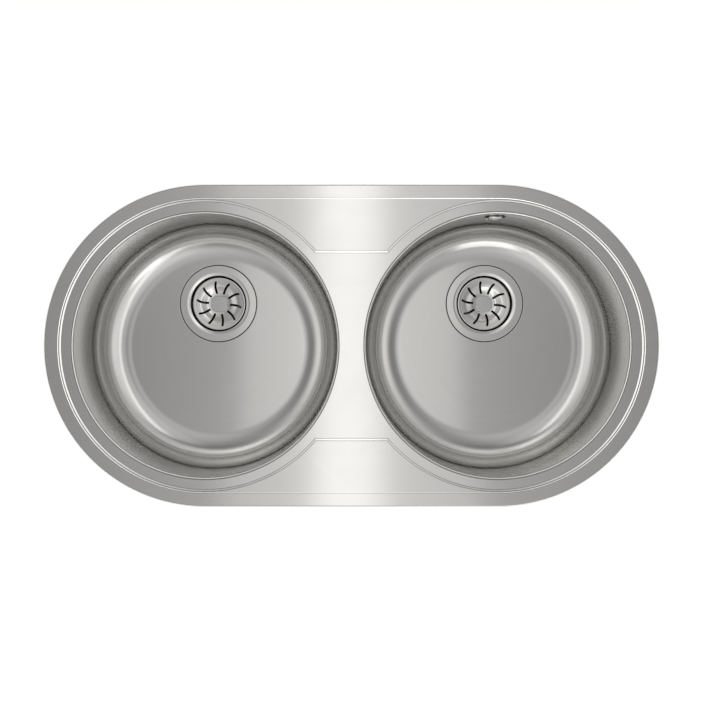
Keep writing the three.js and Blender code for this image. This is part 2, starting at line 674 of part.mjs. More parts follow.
// ---------- Overflow ----------
// Its pieces are made round the right bowl's centre, at their own height.

const COVER_BACK = DIMPLE_FACE;
const COVER_FRONT = COVER_BACK - COVER_HEIGHT;
const GASKET_FACE = DIMPLE_FACE + SHEET;
const HOUSING_FACE = GASKET_FACE + OVERFLOW_GASKET;
const HOUSING_BACK = HOUSING_FACE + HOUSING_DEPTH;
const HOSE_Y = HOUSING_FACE + HOUSING_DEPTH / 2;
const SPIGOT_TOP = OVERFLOW_Z - HOUSING_RADIUS;
const SPIGOT_FOOT = SPIGOT_TOP - SPIGOT_LENGTH;

const rearRing = (inner, outer, near, far, steps) =>
  moved(ring(inner, outer, near, far, steps).rotate([-90, 0, 0]), 0, 0, OVERFLOW_Z);

// A flanged cap that stands proud of the wall; its screw sits in a pressed seat.
function overflowCover() {
  const screwHole = 2.3;
  const t = COVER_THICKNESS;
  const inner = COVER_FACE_RADIUS - t;
  const seatFace = COVER_FRONT + COVER_SEAT_DEPTH;
  const profile = [
    [screwHole, seatFace],
    [COVER_SEAT_RADIUS - 0.4, seatFace],
    [COVER_SEAT_RADIUS, COVER_FRONT],
    [COVER_FACE_RADIUS - 1.2, COVER_FRONT + 0.3],
    [COVER_FACE_RADIUS, COVER_FRONT + 1.5],
    [COVER_FACE_RADIUS, COVER_BACK - t],
    [COVER_RADIUS, COVER_BACK - t],
    [COVER_RADIUS, COVER_BACK],
    [inner, COVER_BACK],
    [inner, COVER_FRONT + 1.9],
    [inner - 0.6, COVER_FRONT + 1.3],
    [COVER_SEAT_RADIUS + t, COVER_FRONT + t],
    [COVER_SEAT_RADIUS + t / 2, seatFace + t],
    [screwHole, seatFace + t],
  ];
  let cover = moved(revolved(profile, WASTE_STEPS).rotate([-90, 0, 0]), 0, 0, OVERFLOW_Z);
  const crescent = new THREE.Shape();
  const sweep = Math.PI / COVER_SLOTS - 0.22;
  crescent.absarc(0, 0, COVER_SLOT_OUTER, -sweep, sweep, false);
  crescent.absarc(0, 0, COVER_SLOT_INNER, sweep, -sweep, true);
  for (let i = 0; i < COVER_SLOTS; i++) {
    const slot = prism(crescent, COVER_FRONT - CUT_OVERSHOOT, COVER_BACK + CUT_OVERSHOOT, 2);
    const turned = slot.rotate([0, 0, (i * 360) / COVER_SLOTS]).rotate([-90, 0, 0]);
    cover = cover.subtract(moved(turned, 0, 0, OVERFLOW_Z));
  }
  return cover;
}

function overflowScrew() {
  const headBack = COVER_FRONT + COVER_SEAT_DEPTH - SEAT_GAP;
  const tip = HOUSING_BACK - HOUSING_WALL - SEAT_GAP;
  const lying = revolved(
    [[0, tip], [2, tip], [2, headBack], [3.8, headBack], [3.2, headBack - 1.4], [0, headBack - 1.7]],
    SMALL_STEPS,
  ).rotate([-90, 0, 0]);
  return moved(lying, 0, 0, OVERFLOW_Z);
}

function overflowHousing() {
  const inner = HOUSING_RADIUS - HOUSING_WALL;
  const pot = rearDisc(HOUSING_RADIUS, HOUSING_FACE, HOUSING_BACK, WASTE_STEPS);
  const outerTube = moved(cylinder(SPIGOT_RADIUS, SPIGOT_FOOT, OVERFLOW_Z - inner, 16), 0, HOSE_Y, 0);
  const innerTube = moved(cylinder(SPIGOT_BORE, SPIGOT_FOOT - 1, OVERFLOW_Z, 16), 0, HOSE_Y, 0);
  const hollow = rearDisc(inner, HOUSING_FACE - 1, HOUSING_BACK - HOUSING_WALL, WASTE_STEPS);
  const post = rearDisc(4.5, HOUSING_FACE + 4, HOUSING_BACK - HOUSING_WALL / 2, SMALL_STEPS);
  const postHole = rearDisc(2 + SEAT_GAP, HOUSING_FACE, HOUSING_BACK - HOUSING_WALL, SMALL_STEPS);
  return joined(pot, outerTube).subtract(joined(hollow, innerTube)).add(post).subtract(postHole);
}

// The corrugated hose hangs from the housing, turns under the bowl and slips over the waste's inlet.
function overflowHose() {
  const top = SPIGOT_TOP - SEAT_GAP;
  const foot = FLOOR_LEVEL + SIDE_INLET_Z;
  const end = DRAIN_OFFSET + INLET_FACE + SEAT_GAP;
  const corner = new THREE.Vector3(0, HOSE_Y - HOSE_BEND, foot + HOSE_BEND);
  const bendLength = (Math.PI / 2) * HOSE_BEND;
  const dropLength = top - corner.z;
  const runLength = corner.y - end;
  const total = dropLength + bendLength + runLength;
  const frameAt = (s) => {
    if (s <= dropLength) return { y: HOSE_Y, z: top - s, turn: 0 };
    const turn = Math.min((s - dropLength) / HOSE_BEND, Math.PI / 2);
    const past = Math.max(0, s - dropLength - bendLength);
    return {
      y: corner.y + HOSE_BEND * Math.cos(turn) - past,
      z: corner.z - HOSE_BEND * Math.sin(turn),
      turn,
    };
  };
  const cuff = 2 * HOSE_CREST;
  const ribs = Math.floor((total - 2 * cuff) / HOSE_PITCH);
  const pitch = (total - 2 * cuff) / ribs;
  const outer = [[0, HOSE_CREST]];
  for (let i = 0; i < ribs; i++) {
    outer.push([cuff + i * pitch, HOSE_CREST], [cuff + (i + 0.5) * pitch, HOSE_VALLEY]);
  }
  outer.push([total - cuff, HOSE_CREST], [total, HOSE_CREST]);
  const bore = SPIGOT_RADIUS + SEAT_GAP;
  const inner = [[0, bore]];
  for (let i = 0; i <= HOSE_BEND_STEPS; i++) {
    inner.push([dropLength + (bendLength * i) / HOSE_BEND_STEPS, bore]);
  }
  inner.push([total, bore]);
  const rings = [...outer, ...inner.reverse()];
  const positions = rings.flatMap(([s, radius]) => {
    const { y, z, turn } = frameAt(s);
    return Array.from({ length: HOSE_SIDES }, (_, i) => {
      const angle = ((i + 0.5) * 2 * Math.PI) / HOSE_SIDES;
      const across = (radius * Math.sin(angle)) / Math.cos(Math.PI / HOSE_SIDES);
      const sideways = (radius * Math.cos(angle)) / Math.cos(Math.PI / HOSE_SIDES);
      return [sideways, y + across * Math.cos(turn), z - across * Math.sin(turn)];
    }).flat();
  });
  const faces = [];
  for (let r = 0; r < rings.length; r++) {
    const next = ((r + 1) % rings.length) * HOSE_SIDES;
    for (let i = 0; i < HOSE_SIDES; i++) {
      const j = (i + 1) % HOSE_SIDES;
      const [a, b] = [r * HOSE_SIDES + i, r * HOSE_SIDES + j];
      faces.push([a, b, next + j], [a, next + j, next + i]);
    }
  }
  const made = manifoldOf(positions, faces);
  return made.volume() > 0 ? made : manifoldOf(positions, faces.map(([a, b, c]) => [a, c, b]));
}

const hoseNut = (low) => {
  const hoseCorner = HOSE_CREST / Math.cos(Math.PI / HOSE_SIDES);
  const bore = (hoseCorner + SEAT_GAP) / Math.cos(Math.PI / NUT_SIDES);
  return ring(bore, bore + NUT_WALL, low, low + NUT_LENGTH, NUT_SIDES);
};

// ---------- Fixing clips ----------
// A clip is drawn with +X across the rim, from the bowl outwards, and +Z up.

const SCREW_POKE = 1.5; // how far the screw stands through the hanger
const TAB_TOP = DECK_LEVEL - SHEET - CLIP_HEADROOM - CLIP_TRAVEL - SCREW_POKE;
const CLAW_FLOOR = TAB_TOP - 2 * CLIP_STEEL - CLIP_HEADROOM - CLIP_TRAVEL; // its underside at rest
const TOOTH_TIPS = -THICKEST_WORKTOP;
const CLAW_SIDE = HANGER_WIDTH / 2 + CLIP_STEEL; // inside face of the claw's sides
// Distances across the rim, from the bowl's centre.
const HANGER_INNER = MOUTH_RADIUS + MOUTH_ROUND + HANGER_CLEARANCE;
const HANGER_REACH = HANGER_INNER + HANGER_DEPTH;
const CLIP_SCREW_LINE = HANGER_INNER + SCREW_TO_HANGER;
const CLAW_INNER = HANGER_INNER - CLAW_BACK;
const CLAW_OUTER = CUTOUT_RADIUS + CLAW_BITE;

// A C of folded steel, spot-welded under the deck; its lower tab takes the screw.
function clipHanger(footTop) {
  const t = CLIP_STEEL;
  const outline = [
    [HANGER_INNER, footTop],
    [HANGER_INNER, TAB_TOP - t],
    [HANGER_REACH, TAB_TOP - t],
    [HANGER_REACH, TAB_TOP],
    [HANGER_INNER + t, TAB_TOP],
    [HANGER_INNER + t, footTop - t],
    [HANGER_INNER + HANGER_FOOT, footTop - t],
    [HANGER_INNER + HANGER_FOOT, footTop],
  ].map(([x, z]) => new THREE.Vector2(x, z));
  const folded = prism(new THREE.Shape(outline), -HANGER_WIDTH / 2, HANGER_WIDTH / 2).rotate([90, 0, 0]);
  const hole = cylinder(CLIP_SCREW_RADIUS + SEAT_GAP, TAB_TOP - 2 * t, TAB_TOP + t, SMALL_STEPS);
  return folded.subtract(moved(hole, CLIP_SCREW_LINE, 0, 0));
}

// A channel of folded steel whose toothed ends bite the underside of the worktop.
function clipClaw() {
  const t = CLIP_STEEL;
  const toothStart = CUTOUT_RADIUS + 0.5;
  const toothPitch = (CLAW_OUTER - toothStart) / CLAW_TEETH;
  const teeth = [];
  for (let i = 0; i < CLAW_TEETH; i++) {
    const x = CLAW_OUTER - i * toothPitch;
    teeth.push([x, TOOTH_TIPS], [x - toothPitch, TOOTH_TIPS - TOOTH_HEIGHT]);
  }
  const sideOutline = [
    [CLAW_INNER, CLAW_FLOOR],
    [CLAW_OUTER - 3, CLAW_FLOOR],
    [CLAW_OUTER, CLAW_FLOOR + 3],
    ...teeth,
    [CUTOUT_RADIUS - 5, TOOTH_TIPS + CLAW_SHOULDER],
    [CLAW_INNER, TOOTH_TIPS + CLAW_SHOULDER],
  ].map(([x, z]) => new THREE.Vector2(x, z));
  const side = (from) => prism(new THREE.Shape(sideOutline), from, from + t).rotate([90, 0, 0]);
  const floor = box(CLAW_INNER, CLAW_OUTER - 3, -CLAW_SIDE, CLAW_SIDE, CLAW_FLOOR, CLAW_FLOOR + t);
  const hole = cylinder(CLIP_SCREW_RADIUS + SEAT_GAP, CLAW_FLOOR - t, CLAW_FLOOR + 2 * t, SMALL_STEPS);
  return joined(floor, side(-CLAW_SIDE - t), side(CLAW_SIDE)).subtract(moved(hole, CLIP_SCREW_LINE, 0, 0));
}

function clipScrew() {
  const headTop = CLAW_FLOOR - SEAT_GAP;
  const tip = TAB_TOP + SCREW_POKE;
  const screw = revolved(
    [
      [0, headTop - CLIP_HEAD_HEIGHT],
      [CLIP_HEAD_RADIUS, headTop - CLIP_HEAD_HEIGHT],
      [CLIP_HEAD_RADIUS, headTop],
      [CLIP_SCREW_RADIUS, headTop],
      [CLIP_SCREW_RADIUS, tip - 1],
      [CLIP_SCREW_RADIUS - 1, tip],
      [0, tip],
    ],
    CLIP_SCREW_STEPS,
  );
  return moved(screw, CLIP_SCREW_LINE, 0, 0);
}

// ---------- Assembly ----------

for (const [side, x] of [["left", -HALF_SPACING], ["right", HALF_SPACING]]) {
  const isRight = side === "right";
  const atBowl = (name, made, material) => addPiece(name, moved(made, x, 0, 0), material);
  const atDrain = (name, made, material) =>
    addPiece(name, moved(made, x, DRAIN_OFFSET, FLOOR_LEVEL), material);
  atBowl(`${side}_bowl`, bowl(isRight), SATIN_STEEL);
  atBowl(`${side}_sound_pad`, soundPad(), BITUMEN);
  atDrain(`${side}_strainer_cup`, strainerCup(), BRIGHT_STEEL);
  atDrain(
    `${side}_flange_gasket`,
    ring(FLANGE_GASKET_INNER, FLANGE_RADIUS - 0.5, GASKET_UNDER, FLANGE_UNDER, GASKET_STEPS),
    BLACK_RUBBER,
  );
  atDrain(
    `${side}_body_gasket`,
    ring(CHAMBER_RADIUS + 0.5, BODY_FLANGE - 1, BODY_TOP, RECESS_UNDER, GASKET_STEPS),
    BLACK_RUBBER,
  );
  atDrain(`${side}_waste_body`, wasteBody(isRight), WHITE_PLASTIC);
  atDrain(`${side}_centre_screw`, centreScrew(), ZINC_STEEL);
  atDrain(`${side}_basket_dish`, basketDish(), BRIGHT_STEEL);
  atDrain(`${side}_basket_knob`, basketKnob(), CHROME_PLASTIC);
  atDrain(`${side}_basket_stem`, basketStem(), WHITE_PLASTIC);
  atDrain(`${side}_basket_plug`, basketPlug(), BLACK_RUBBER);
}

const behindRightBowl = (name, made, material) => addPiece(name, moved(made, HALF_SPACING, 0, 0), material);
behindRightBowl("overflow_cover", overflowCover(), BRIGHT_STEEL);
behindRightBowl("overflow_screw", overflowScrew(), BRIGHT_STEEL);
behindRightBowl(
  "overflow_gasket",
  rearRing(OVERFLOW_HOLE + 0.5, HOUSING_RADIUS - 1, GASKET_FACE, HOUSING_FACE, GASKET_STEPS),
  BLACK_RUBBER,
);
behindRightBowl("overflow_housing", overflowHousing(), WHITE_PLASTIC);
behindRightBowl("overflow_hose", overflowHose(), WHITE_PLASTIC);
behindRightBowl(
  "overflow_upper_nut",
  moved(hoseNut(SPIGOT_TOP - NUT_LENGTH - 2 * SEAT_GAP), 0, HOSE_Y, 0),
  WHITE_PLASTIC,
);
behindRightBowl(
  "overflow_lower_nut",
  moved(
    hoseNut(DRAIN_OFFSET + INLET_FACE + 2 * SEAT_GAP).rotate([-90, 0, 0]),
    0,
    0,
    FLOOR_LEVEL + SIDE_INLET_Z,
  ),
  WHITE_PLASTIC,
);

// Where each clip stands: the centre that it faces away from, its direction and the sheet above its foot.
const clipPlaces = [];
for (const x of [-CLIP_STRAIGHT_X, CLIP_STRAIGHT_X]) {
  for (const direction of [-Math.PI / 2, Math.PI / 2]) {
    clipPlaces.push({ x, direction, footTop: LEDGE_LEVEL - SHEET });
  }
}
for (const angle of [-CLIP_END_ANGLE, CLIP_END_ANGLE]) {
  clipPlaces.push({ x: HALF_SPACING, direction: angle, footTop: DECK_LEVEL - SHEET });
  clipPlaces.push({ x: -HALF_SPACING, direction: Math.PI + angle, footTop: DECK_LEVEL - SHEET });
}
clipPlaces.forEach(({ x, direction, footTop }, i) => {
  const turn = THREE.MathUtils.radToDeg(direction);
  const place = (made) => moved(made.rotate([0, 0, turn]), x, 0, 0);
  addPiece(`clip_hanger_${i + 1}`, place(clipHanger(footTop)), ZINC_STEEL);
  addPiece(`clip_claw_${i + 1}`, place(clipClaw()), ZINC_STEEL);
  addPiece(`clip_screw_${i + 1}`, place(clipScrew()), ZINC_STEEL);
});

export default assembly;
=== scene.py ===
# %% [markdown]
# # A double bowl kitchen sink, dressed for its picture
#
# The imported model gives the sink's solids with few faces. This lesson builds the parts that show
# again with smooth presses, real edges and brushed steel, and sets them in the same place.
# Lengths are written in millimetres, as on a drawing, and become metres when a point is made.
# +X runs along the sink, +Y to the taps and +Z up; the worktop's top face is at z = 0.

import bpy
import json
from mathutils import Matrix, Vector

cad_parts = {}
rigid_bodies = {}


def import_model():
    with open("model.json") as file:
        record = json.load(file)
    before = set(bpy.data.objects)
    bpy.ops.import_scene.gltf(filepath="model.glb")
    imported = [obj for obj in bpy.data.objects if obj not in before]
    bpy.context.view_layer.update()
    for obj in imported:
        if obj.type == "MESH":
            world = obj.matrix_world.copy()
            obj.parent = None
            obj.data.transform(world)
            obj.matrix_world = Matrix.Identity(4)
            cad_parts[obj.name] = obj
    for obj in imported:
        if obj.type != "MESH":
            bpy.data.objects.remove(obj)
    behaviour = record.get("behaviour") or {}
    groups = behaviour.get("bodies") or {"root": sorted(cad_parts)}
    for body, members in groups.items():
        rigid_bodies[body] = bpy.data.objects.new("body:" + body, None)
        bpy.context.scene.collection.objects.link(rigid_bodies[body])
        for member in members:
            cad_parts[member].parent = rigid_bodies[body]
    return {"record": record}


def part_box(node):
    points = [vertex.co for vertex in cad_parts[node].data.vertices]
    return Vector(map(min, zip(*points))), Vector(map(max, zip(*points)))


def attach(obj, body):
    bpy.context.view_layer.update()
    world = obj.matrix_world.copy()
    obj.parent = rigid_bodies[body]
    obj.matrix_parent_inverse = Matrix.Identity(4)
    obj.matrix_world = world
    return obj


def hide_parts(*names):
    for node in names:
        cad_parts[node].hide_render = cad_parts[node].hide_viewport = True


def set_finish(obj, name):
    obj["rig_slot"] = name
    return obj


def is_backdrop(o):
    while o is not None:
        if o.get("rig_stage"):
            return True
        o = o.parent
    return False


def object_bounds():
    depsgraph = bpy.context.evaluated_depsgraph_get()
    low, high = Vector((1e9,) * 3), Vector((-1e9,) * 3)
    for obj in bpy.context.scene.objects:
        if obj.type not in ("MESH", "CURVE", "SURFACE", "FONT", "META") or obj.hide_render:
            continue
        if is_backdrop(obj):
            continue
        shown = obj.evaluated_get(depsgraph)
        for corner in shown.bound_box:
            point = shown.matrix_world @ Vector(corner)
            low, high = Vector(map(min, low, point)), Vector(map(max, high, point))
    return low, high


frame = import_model()
cad_box = [list(corner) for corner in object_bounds()]
print("CAD box, metres:", [[round(value, 4) for value in corner] for corner in cad_box])

# %% Tools from Python and Blender
import json
import math

import bpy
from mathutils import Matrix, Vector

MM = 0.001
record = frame["record"]
body_of = {node: body for body, nodes in record["behaviour"]["bodies"].items() for node in nodes}
slot_of = {part["node"]: part["material_slot"] for part in record["subparts"]}

# %% [markdown]
# ## The camera
# The picture was taken from straight above. The bowl floors look 9 % smaller than the rims, and that
# tells how far away the lens was: about 1.76 m above the rim. The sink lies 6 pixels above the middle
# of the picture, so the camera stands 8 mm towards the front.

# %% Camera straight above
PICTURE_SIDE = 703  # pixels
MM_PER_PIXEL = 1.3636  # in the plane of the rim
CAMERA_ABOVE_RIM = 1756
CAMERA_FORWARD = 8.05
RIM_TOP = 5
SENSOR = 36

camera_data = bpy.data.cameras.new("picture_camera")
camera = bpy.data.objects.new("picture_camera", camera_data)
bpy.context.scene.collection.objects.link(camera)
camera.location = (0, -CAMERA_FORWARD * MM, (RIM_TOP + CAMERA_ABOVE_RIM) * MM)
camera_data.sensor_width = SENSOR
camera_data.lens = SENSOR * CAMERA_ABOVE_RIM / (PICTURE_SIDE * MM_PER_PIXEL)
camera_data.clip_end = 50
bpy.context.scene.camera = camera
bpy.context.scene.view_settings.view_transform = "Standard"
print("lens", round(camera_data.lens, 2), "mm")

# %% [markdown]
# ## How pressed and turned parts are drawn
# Nearly everything on a sink is a section carried round an axis. By hand one draws that section as a
# line, by extruding a single point from corner to corner, and spins the line. Two small helpers make
# the line look like bent sheet: one rounds its corners, the other gives the far face of the sheet.

# %% Rounded corners
def softened(corners, closed=True, steps=4):
    """Corners (x, height, radius) of a section as points, each corner rounded to its radius."""
    line = []
    last = len(corners) - 1
    for i, (x, height, radius) in enumerate(corners):
        here = Vector((x, height))
        if radius == 0 or (not closed and i in (0, last)):
            line.append(here)
            continue
        back = Vector(corners[i - 1][:2]) - here
        ahead = Vector(corners[(i + 1) % (last + 1)][:2]) - here
        half = back.angle(ahead) / 2
        reach = min(radius / math.tan(half), 0.48 * back.length, 0.48 * ahead.length)
        start = here + back.normalized() * reach
        middle = here + (back.normalized() + ahead.normalized()).normalized() * (reach / math.cos(half))
        spoke = start - middle
        sweep = spoke.angle_signed(here + ahead.normalized() * reach - middle)
        for k in range(steps + 1):
            line.append(middle + Matrix.Rotation(-sweep * k / steps, 2) @ spoke)
    return line


def arc(x, height, radius, start, end, steps):
    """Points of an arc in a section, angles in degrees from the outward direction."""
    angles = [math.radians(start + (end - start) * k / steps) for k in range(steps + 1)]
    return [Vector((x + radius * math.cos(a), height + radius * math.sin(a))) for a in angles]


def far_face(line, thickness):
    """The open line pushed to its right-hand side, as the other face of a sheet."""
    points = []
    for i, point in enumerate(line):
        before = line[max(i - 1, 0) + 1] - line[max(i - 1, 0)]
        after = line[min(i + 1, len(line) - 1)] - line[min(i + 1, len(line) - 1) - 1]
        sides = [Vector((step.y, -step.x)).normalized() for step in (before, after)]
        mitre = (sides[0] + sides[1]).normalized()
        points.append(point + mitre * thickness / max(mitre.dot(sides[0]), 0.3))
    return points


print("a right corner of radius 2:", [tuple(round(v, 2) for v in p) for p in
                                      softened([(0, 0, 0), (5, 0, 2), (5, 5, 0)], closed=False, steps=2)])

# %% Select and draw
def rest_tools():
    """Object mode, with nothing selected."""
    if bpy.context.object and bpy.context.object.mode != "OBJECT":
        bpy.ops.object.mode_set(mode="OBJECT")
    bpy.ops.object.select_all(action="DESELECT")


def only(piece):
    """Selects one piece alone and makes it active."""
    rest_tools()
    piece.select_set(True)
    bpy.context.view_layer.objects.active = piece


def draw(line, place):
    """Extrudes a point along a line in edit mode; place turns a section's point into one in space."""
    spots = [place(point) for point in line]
    bpy.ops.mesh.primitive_plane_add(size=MM)
    bpy.ops.mesh.merge(type="CENTER")
    bpy.ops.transform.translate(value=spots[0])
    for near, far in zip(spots, spots[1:]):
        bpy.ops.mesh.extrude_vertices_move(TRANSFORM_OT_translate={"value": far - near})
    bpy.ops.mesh.select_linked()


print("helpers for drawing are ready")

# %% Open and close a mesh
def new_piece(name):
    """An empty mesh at the origin, in edit mode."""
    rest_tools()
    bpy.ops.mesh.primitive_plane_add(size=MM)
    piece = bpy.context.object
    piece.name = piece.data.name = name
    bpy.ops.object.mode_set(mode="EDIT")
    bpy.ops.mesh.delete(type="VERT")
    return piece


def weld(threshold=2e-6):
    """Merges points that lie together, in metres."""
    bpy.ops.mesh.select_all(action="SELECT")
    bpy.ops.mesh.remove_doubles(threshold=threshold)


def close_up(piece):
    """Merges seams and poles, turns the faces outwards and leaves edit mode."""
    weld()
    bpy.ops.mesh.dissolve_degenerate(threshold=1e-6)
    bpy.ops.mesh.select_all(action="SELECT")
    bpy.ops.mesh.normals_make_consistent(inside=False)
    bpy.ops.object.mode_set(mode="OBJECT")
    return piece


print("helpers for meshes are ready")

# %% Spin a section
UP, REAR = Vector((0, 0, 1)), Vector((0, 1, 0))  # axes that a section is spun round


def spin_section(line, foot, axis=UP, turns=96):
    """In edit mode: draws a section of (radius, height) from foot and spins it round the axis."""
    foot = Vector(foot) * MM
    draw(line, lambda p: foot + (Vector((p.x, 0, 0)) + axis * p.y) * MM)
    bpy.ops.mesh.spin(steps=turns, angle=math.radians(360), center=foot, axis=axis)


def turned(name, line, foot=(0, 0, 0), axis=UP, turns=96):
    """A closed section turned into a solid part."""
    piece = new_piece(name)
    spin_section([*line, line[0]], foot, axis, turns)
    return close_up(piece)


def rod(name, radius, low, high, **place):
    """A turned cylinder, as a tool for holes and hubs; place says its foot, axis and turns."""
    return turned(name, [Vector(p) for p in ((0, low), (radius, low), (radius, high), (0, high))], **place)


def band(inner, outer, low, high, radius, steps=4):
    """The section of a flat ring, with rounded edges."""
    corners = ((inner, low), (outer, low), (outer, high), (inner, high))
    return softened([(x, height, radius) for x, height in corners], steps=steps)


print("helpers for turned parts are ready")

# %% [markdown]
# ## Picking, cutting and finishing
# Edit-mode operators act on what is selected, so `pick` selects points by their place. Cuts such as slots and
# screw holes are made with a Boolean modifier, bevelled edges with a Bevel modifier, and both are applied, so
# that the mesh that is left holds them.

# %% Pick points
def pick(piece, test):
    """Selects the points where test(point in millimetres) holds, in edit mode."""
    if piece.mode == "EDIT":
        bpy.ops.object.mode_set(mode="OBJECT")
    mesh = piece.data
    chosen = [bool(test(v.co / MM)) for v in mesh.vertices]
    mesh.vertices.foreach_set("select", chosen)
    mesh.edges.foreach_set("select", [all(chosen[v] for v in e.vertices) for e in mesh.edges])
    mesh.polygons.foreach_set("select", [all(chosen[v] for v in f.vertices) for f in mesh.polygons])
    bpy.ops.object.mode_set(mode="EDIT")
    return sum(chosen)


print("helper for picking is ready")

# %% Cut and bevel
def apply_modifier(piece, kind, **settings):
    """Adds one modifier with its settings and applies it."""
    only(piece)
    modifier = piece.modifiers.new(kind.lower(), kind)
    for key, value in settings.items():
        setattr(modifier, key, value)
    bpy.ops.object.modifier_apply(modifier=modifier.name)


def cut(piece, cutter, operation="DIFFERENCE"):
    """Cuts one piece with another, or joins it, and removes the tool."""
    apply_modifier(piece, "BOOLEAN", object=cutter, operation=operation, solver="EXACT")
    bpy.data.objects.remove(cutter)


def bevelled(piece, width, segments=2, angle=30):
    """Rounds the edges that are sharper than an angle."""
    apply_modifier(piece, "BEVEL", width=width * MM, segments=segments, limit_method="ANGLE",
                   angle_limit=math.radians(angle), use_clamp_overlap=True, harden_normals=False)


def bevel_upright(piece, width, segments):
    """Rounds a new block's upright edges, and stays in edit mode."""
    bpy.ops.object.mode_set(mode="EDIT")
    bpy.ops.mesh.select_mode(type="EDGE")
    bpy.ops.mesh.select_all(action="DESELECT")
    rest_tools()
    for edge in piece.data.edges:
        ends = [piece.data.vertices[v].co for v in edge.vertices]
        edge.select = abs(ends[0].z - ends[1].z) > MM
    bpy.ops.object.mode_set(mode="EDIT")
    bpy.ops.mesh.bevel(offset=width * MM, segments=segments)


print("helpers for cuts and bevels are ready")

# %% Blocks and copies
def block(name, low, high):
    """A box from one corner to the other, in millimetres, with its place in its mesh."""
    rest_tools()
    low, high = Vector(low), Vector(high)
    bpy.ops.mesh.primitive_cube_add(size=1)
    piece = bpy.context.object
    piece.name = piece.data.name = name
    bpy.ops.object.mode_set(mode="EDIT")
    bpy.ops.transform.resize(value=(high - low) * MM)
    bpy.ops.transform.translate(value=(high + low) / 2 * MM)
    bpy.ops.object.mode_set(mode="OBJECT")
    return piece


def settle(piece):
    """Puts an object's place and turn into its mesh."""
    only(piece)
    bpy.ops.object.transform_apply(location=True, rotation=True, scale=True)
    return piece


def copied(piece, name, turn=0, move=(0, 0, 0)):
    """A copy with its own mesh, turned round the upright axis in degrees and then moved."""
    only(piece)
    bpy.ops.object.duplicate(linked=False)
    twin = bpy.context.object
    twin.name = twin.data.name = name
    twin.rotation_euler.z = math.radians(turn)
    twin.location = Vector(move) * MM
    return settle(twin)


print("helpers for blocks and copies are ready")

# %% Join, and set in the frame
def merged(name, *parts):
    """Several meshes as one object."""
    rest_tools()
    for part in parts:
        part.select_set(True)
    bpy.context.view_layer.objects.active = parts[0]
    bpy.ops.object.join()
    parts[0].name = parts[0].data.name = name
    return parts[0]


finishes = {}
made = []


def set_in_frame(piece, node, angle=35, weighted=True):
    """Smooths a finished piece and sets it in the frame in the place of its CAD node."""
    only(piece)
    bpy.ops.object.shade_smooth_by_angle(angle=math.radians(angle))
    if weighted:
        apply_modifier(piece, "WEIGHTED_NORMAL", keep_sharp=True, weight=60)
    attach(piece, body_of[node])
    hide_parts(node)
    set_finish(piece, slot_of[node])
    made.append((piece, node))
    print(piece.name, "stands for", node, "with", len(piece.data.polygons), "faces")
    return piece

# %% [markdown]
# ## The pressed deck
# The deck is one sheet: a folded lip, a flat rim, a small step to the tap ledge, a second pressed step
# round the bowls and the low bridge between them, and the rounded mouths. It is the same in all four
# quarters, so one quarter is drawn and mirrored twice. Each pressed step is a section that is spun
# round the bowl's middle and pulled straight to the centre line. The flat fields between the steps
# are single faces, because a flat field needs no more.

# %% Deck sizes
BOWL_X = 200  # from the centre line to a bowl's middle
SHEET = 0.8
LIP_FOOT = 0.5
OUTLINE = 220
LEDGE_TOP = 4.2
DECK_TOP = 2.6
RIM_INNER = 201.5  # where the rim steps down to the tap ledge
LEDGE_OUTER = 200.5
STEP_TOP = (199.7, 130.5)  # round a bowl, and across the bridge
STEP_FOOT = (196.0, 126.0)
MOUTH = 180
MOUTH_ROUND = 4
MOUTH_EDGE = MOUTH + MOUTH_ROUND + 0.8  # where the flat deck starts
STEP_RUN = STEP_TOP[0] - STEP_FOOT[0]
STEP_BEND = 0.7
ROUND_TURNS = 96  # for half a circle

rim_line = softened(
    [(OUTLINE, LIP_FOOT, 0), (OUTLINE, RIM_TOP, 3.6), (RIM_INNER + 0.1, RIM_TOP, 0.9),
     (LEDGE_OUTER - 0.1, LEDGE_TOP, 0.9), (LEDGE_OUTER - 0.3, LEDGE_TOP, 0)], closed=False, steps=8)
print(len(rim_line), "points across the rim")

# %% Rim of one quarter
def to_right_end(point):
    """A section's point on the long axis, right of the right-hand bowl."""
    return Vector((BOWL_X + point.x, 0, point.y)) * MM


def sweep_end(line, turns, angle, pull=None):
    """Draws a section at the right end, spins it round the bowl's middle and may pull it to the left."""
    draw(line, to_right_end)
    bpy.ops.mesh.spin(steps=turns, angle=angle, center=(BOWL_X * MM, 0, 0), axis=UP)
    if pull is not None:
        bpy.ops.mesh.extrude_region_move(TRANSFORM_OT_translate={"value": (-pull * MM, 0, 0)})


deck = new_piece("sink_deck")
sweep_end(rim_line, ROUND_TURNS // 2, math.pi / 2, pull=BOWL_X)
print("rim swept")

# %% The step round the bowl and along the bridge
# The section's points lie on circles of their own, and each circle meets its own bridge line, so the
# last section of the spin is set point by point on the corner before it is pulled to the centre line.
# A spin with a positive angle runs clockwise, seen from above, so this is the front right quarter.
def step_corner(down):
    """Radius, bridge half width and corner of the step, from its top (0) to its foot (1)."""
    radius = STEP_TOP[0] + (STEP_FOOT[0] - STEP_TOP[0]) * down
    half = STEP_TOP[1] + (STEP_FOOT[1] - STEP_TOP[1]) * down
    return radius, half, Vector((BOWL_X - math.sqrt(radius**2 - half**2), -half, 0))


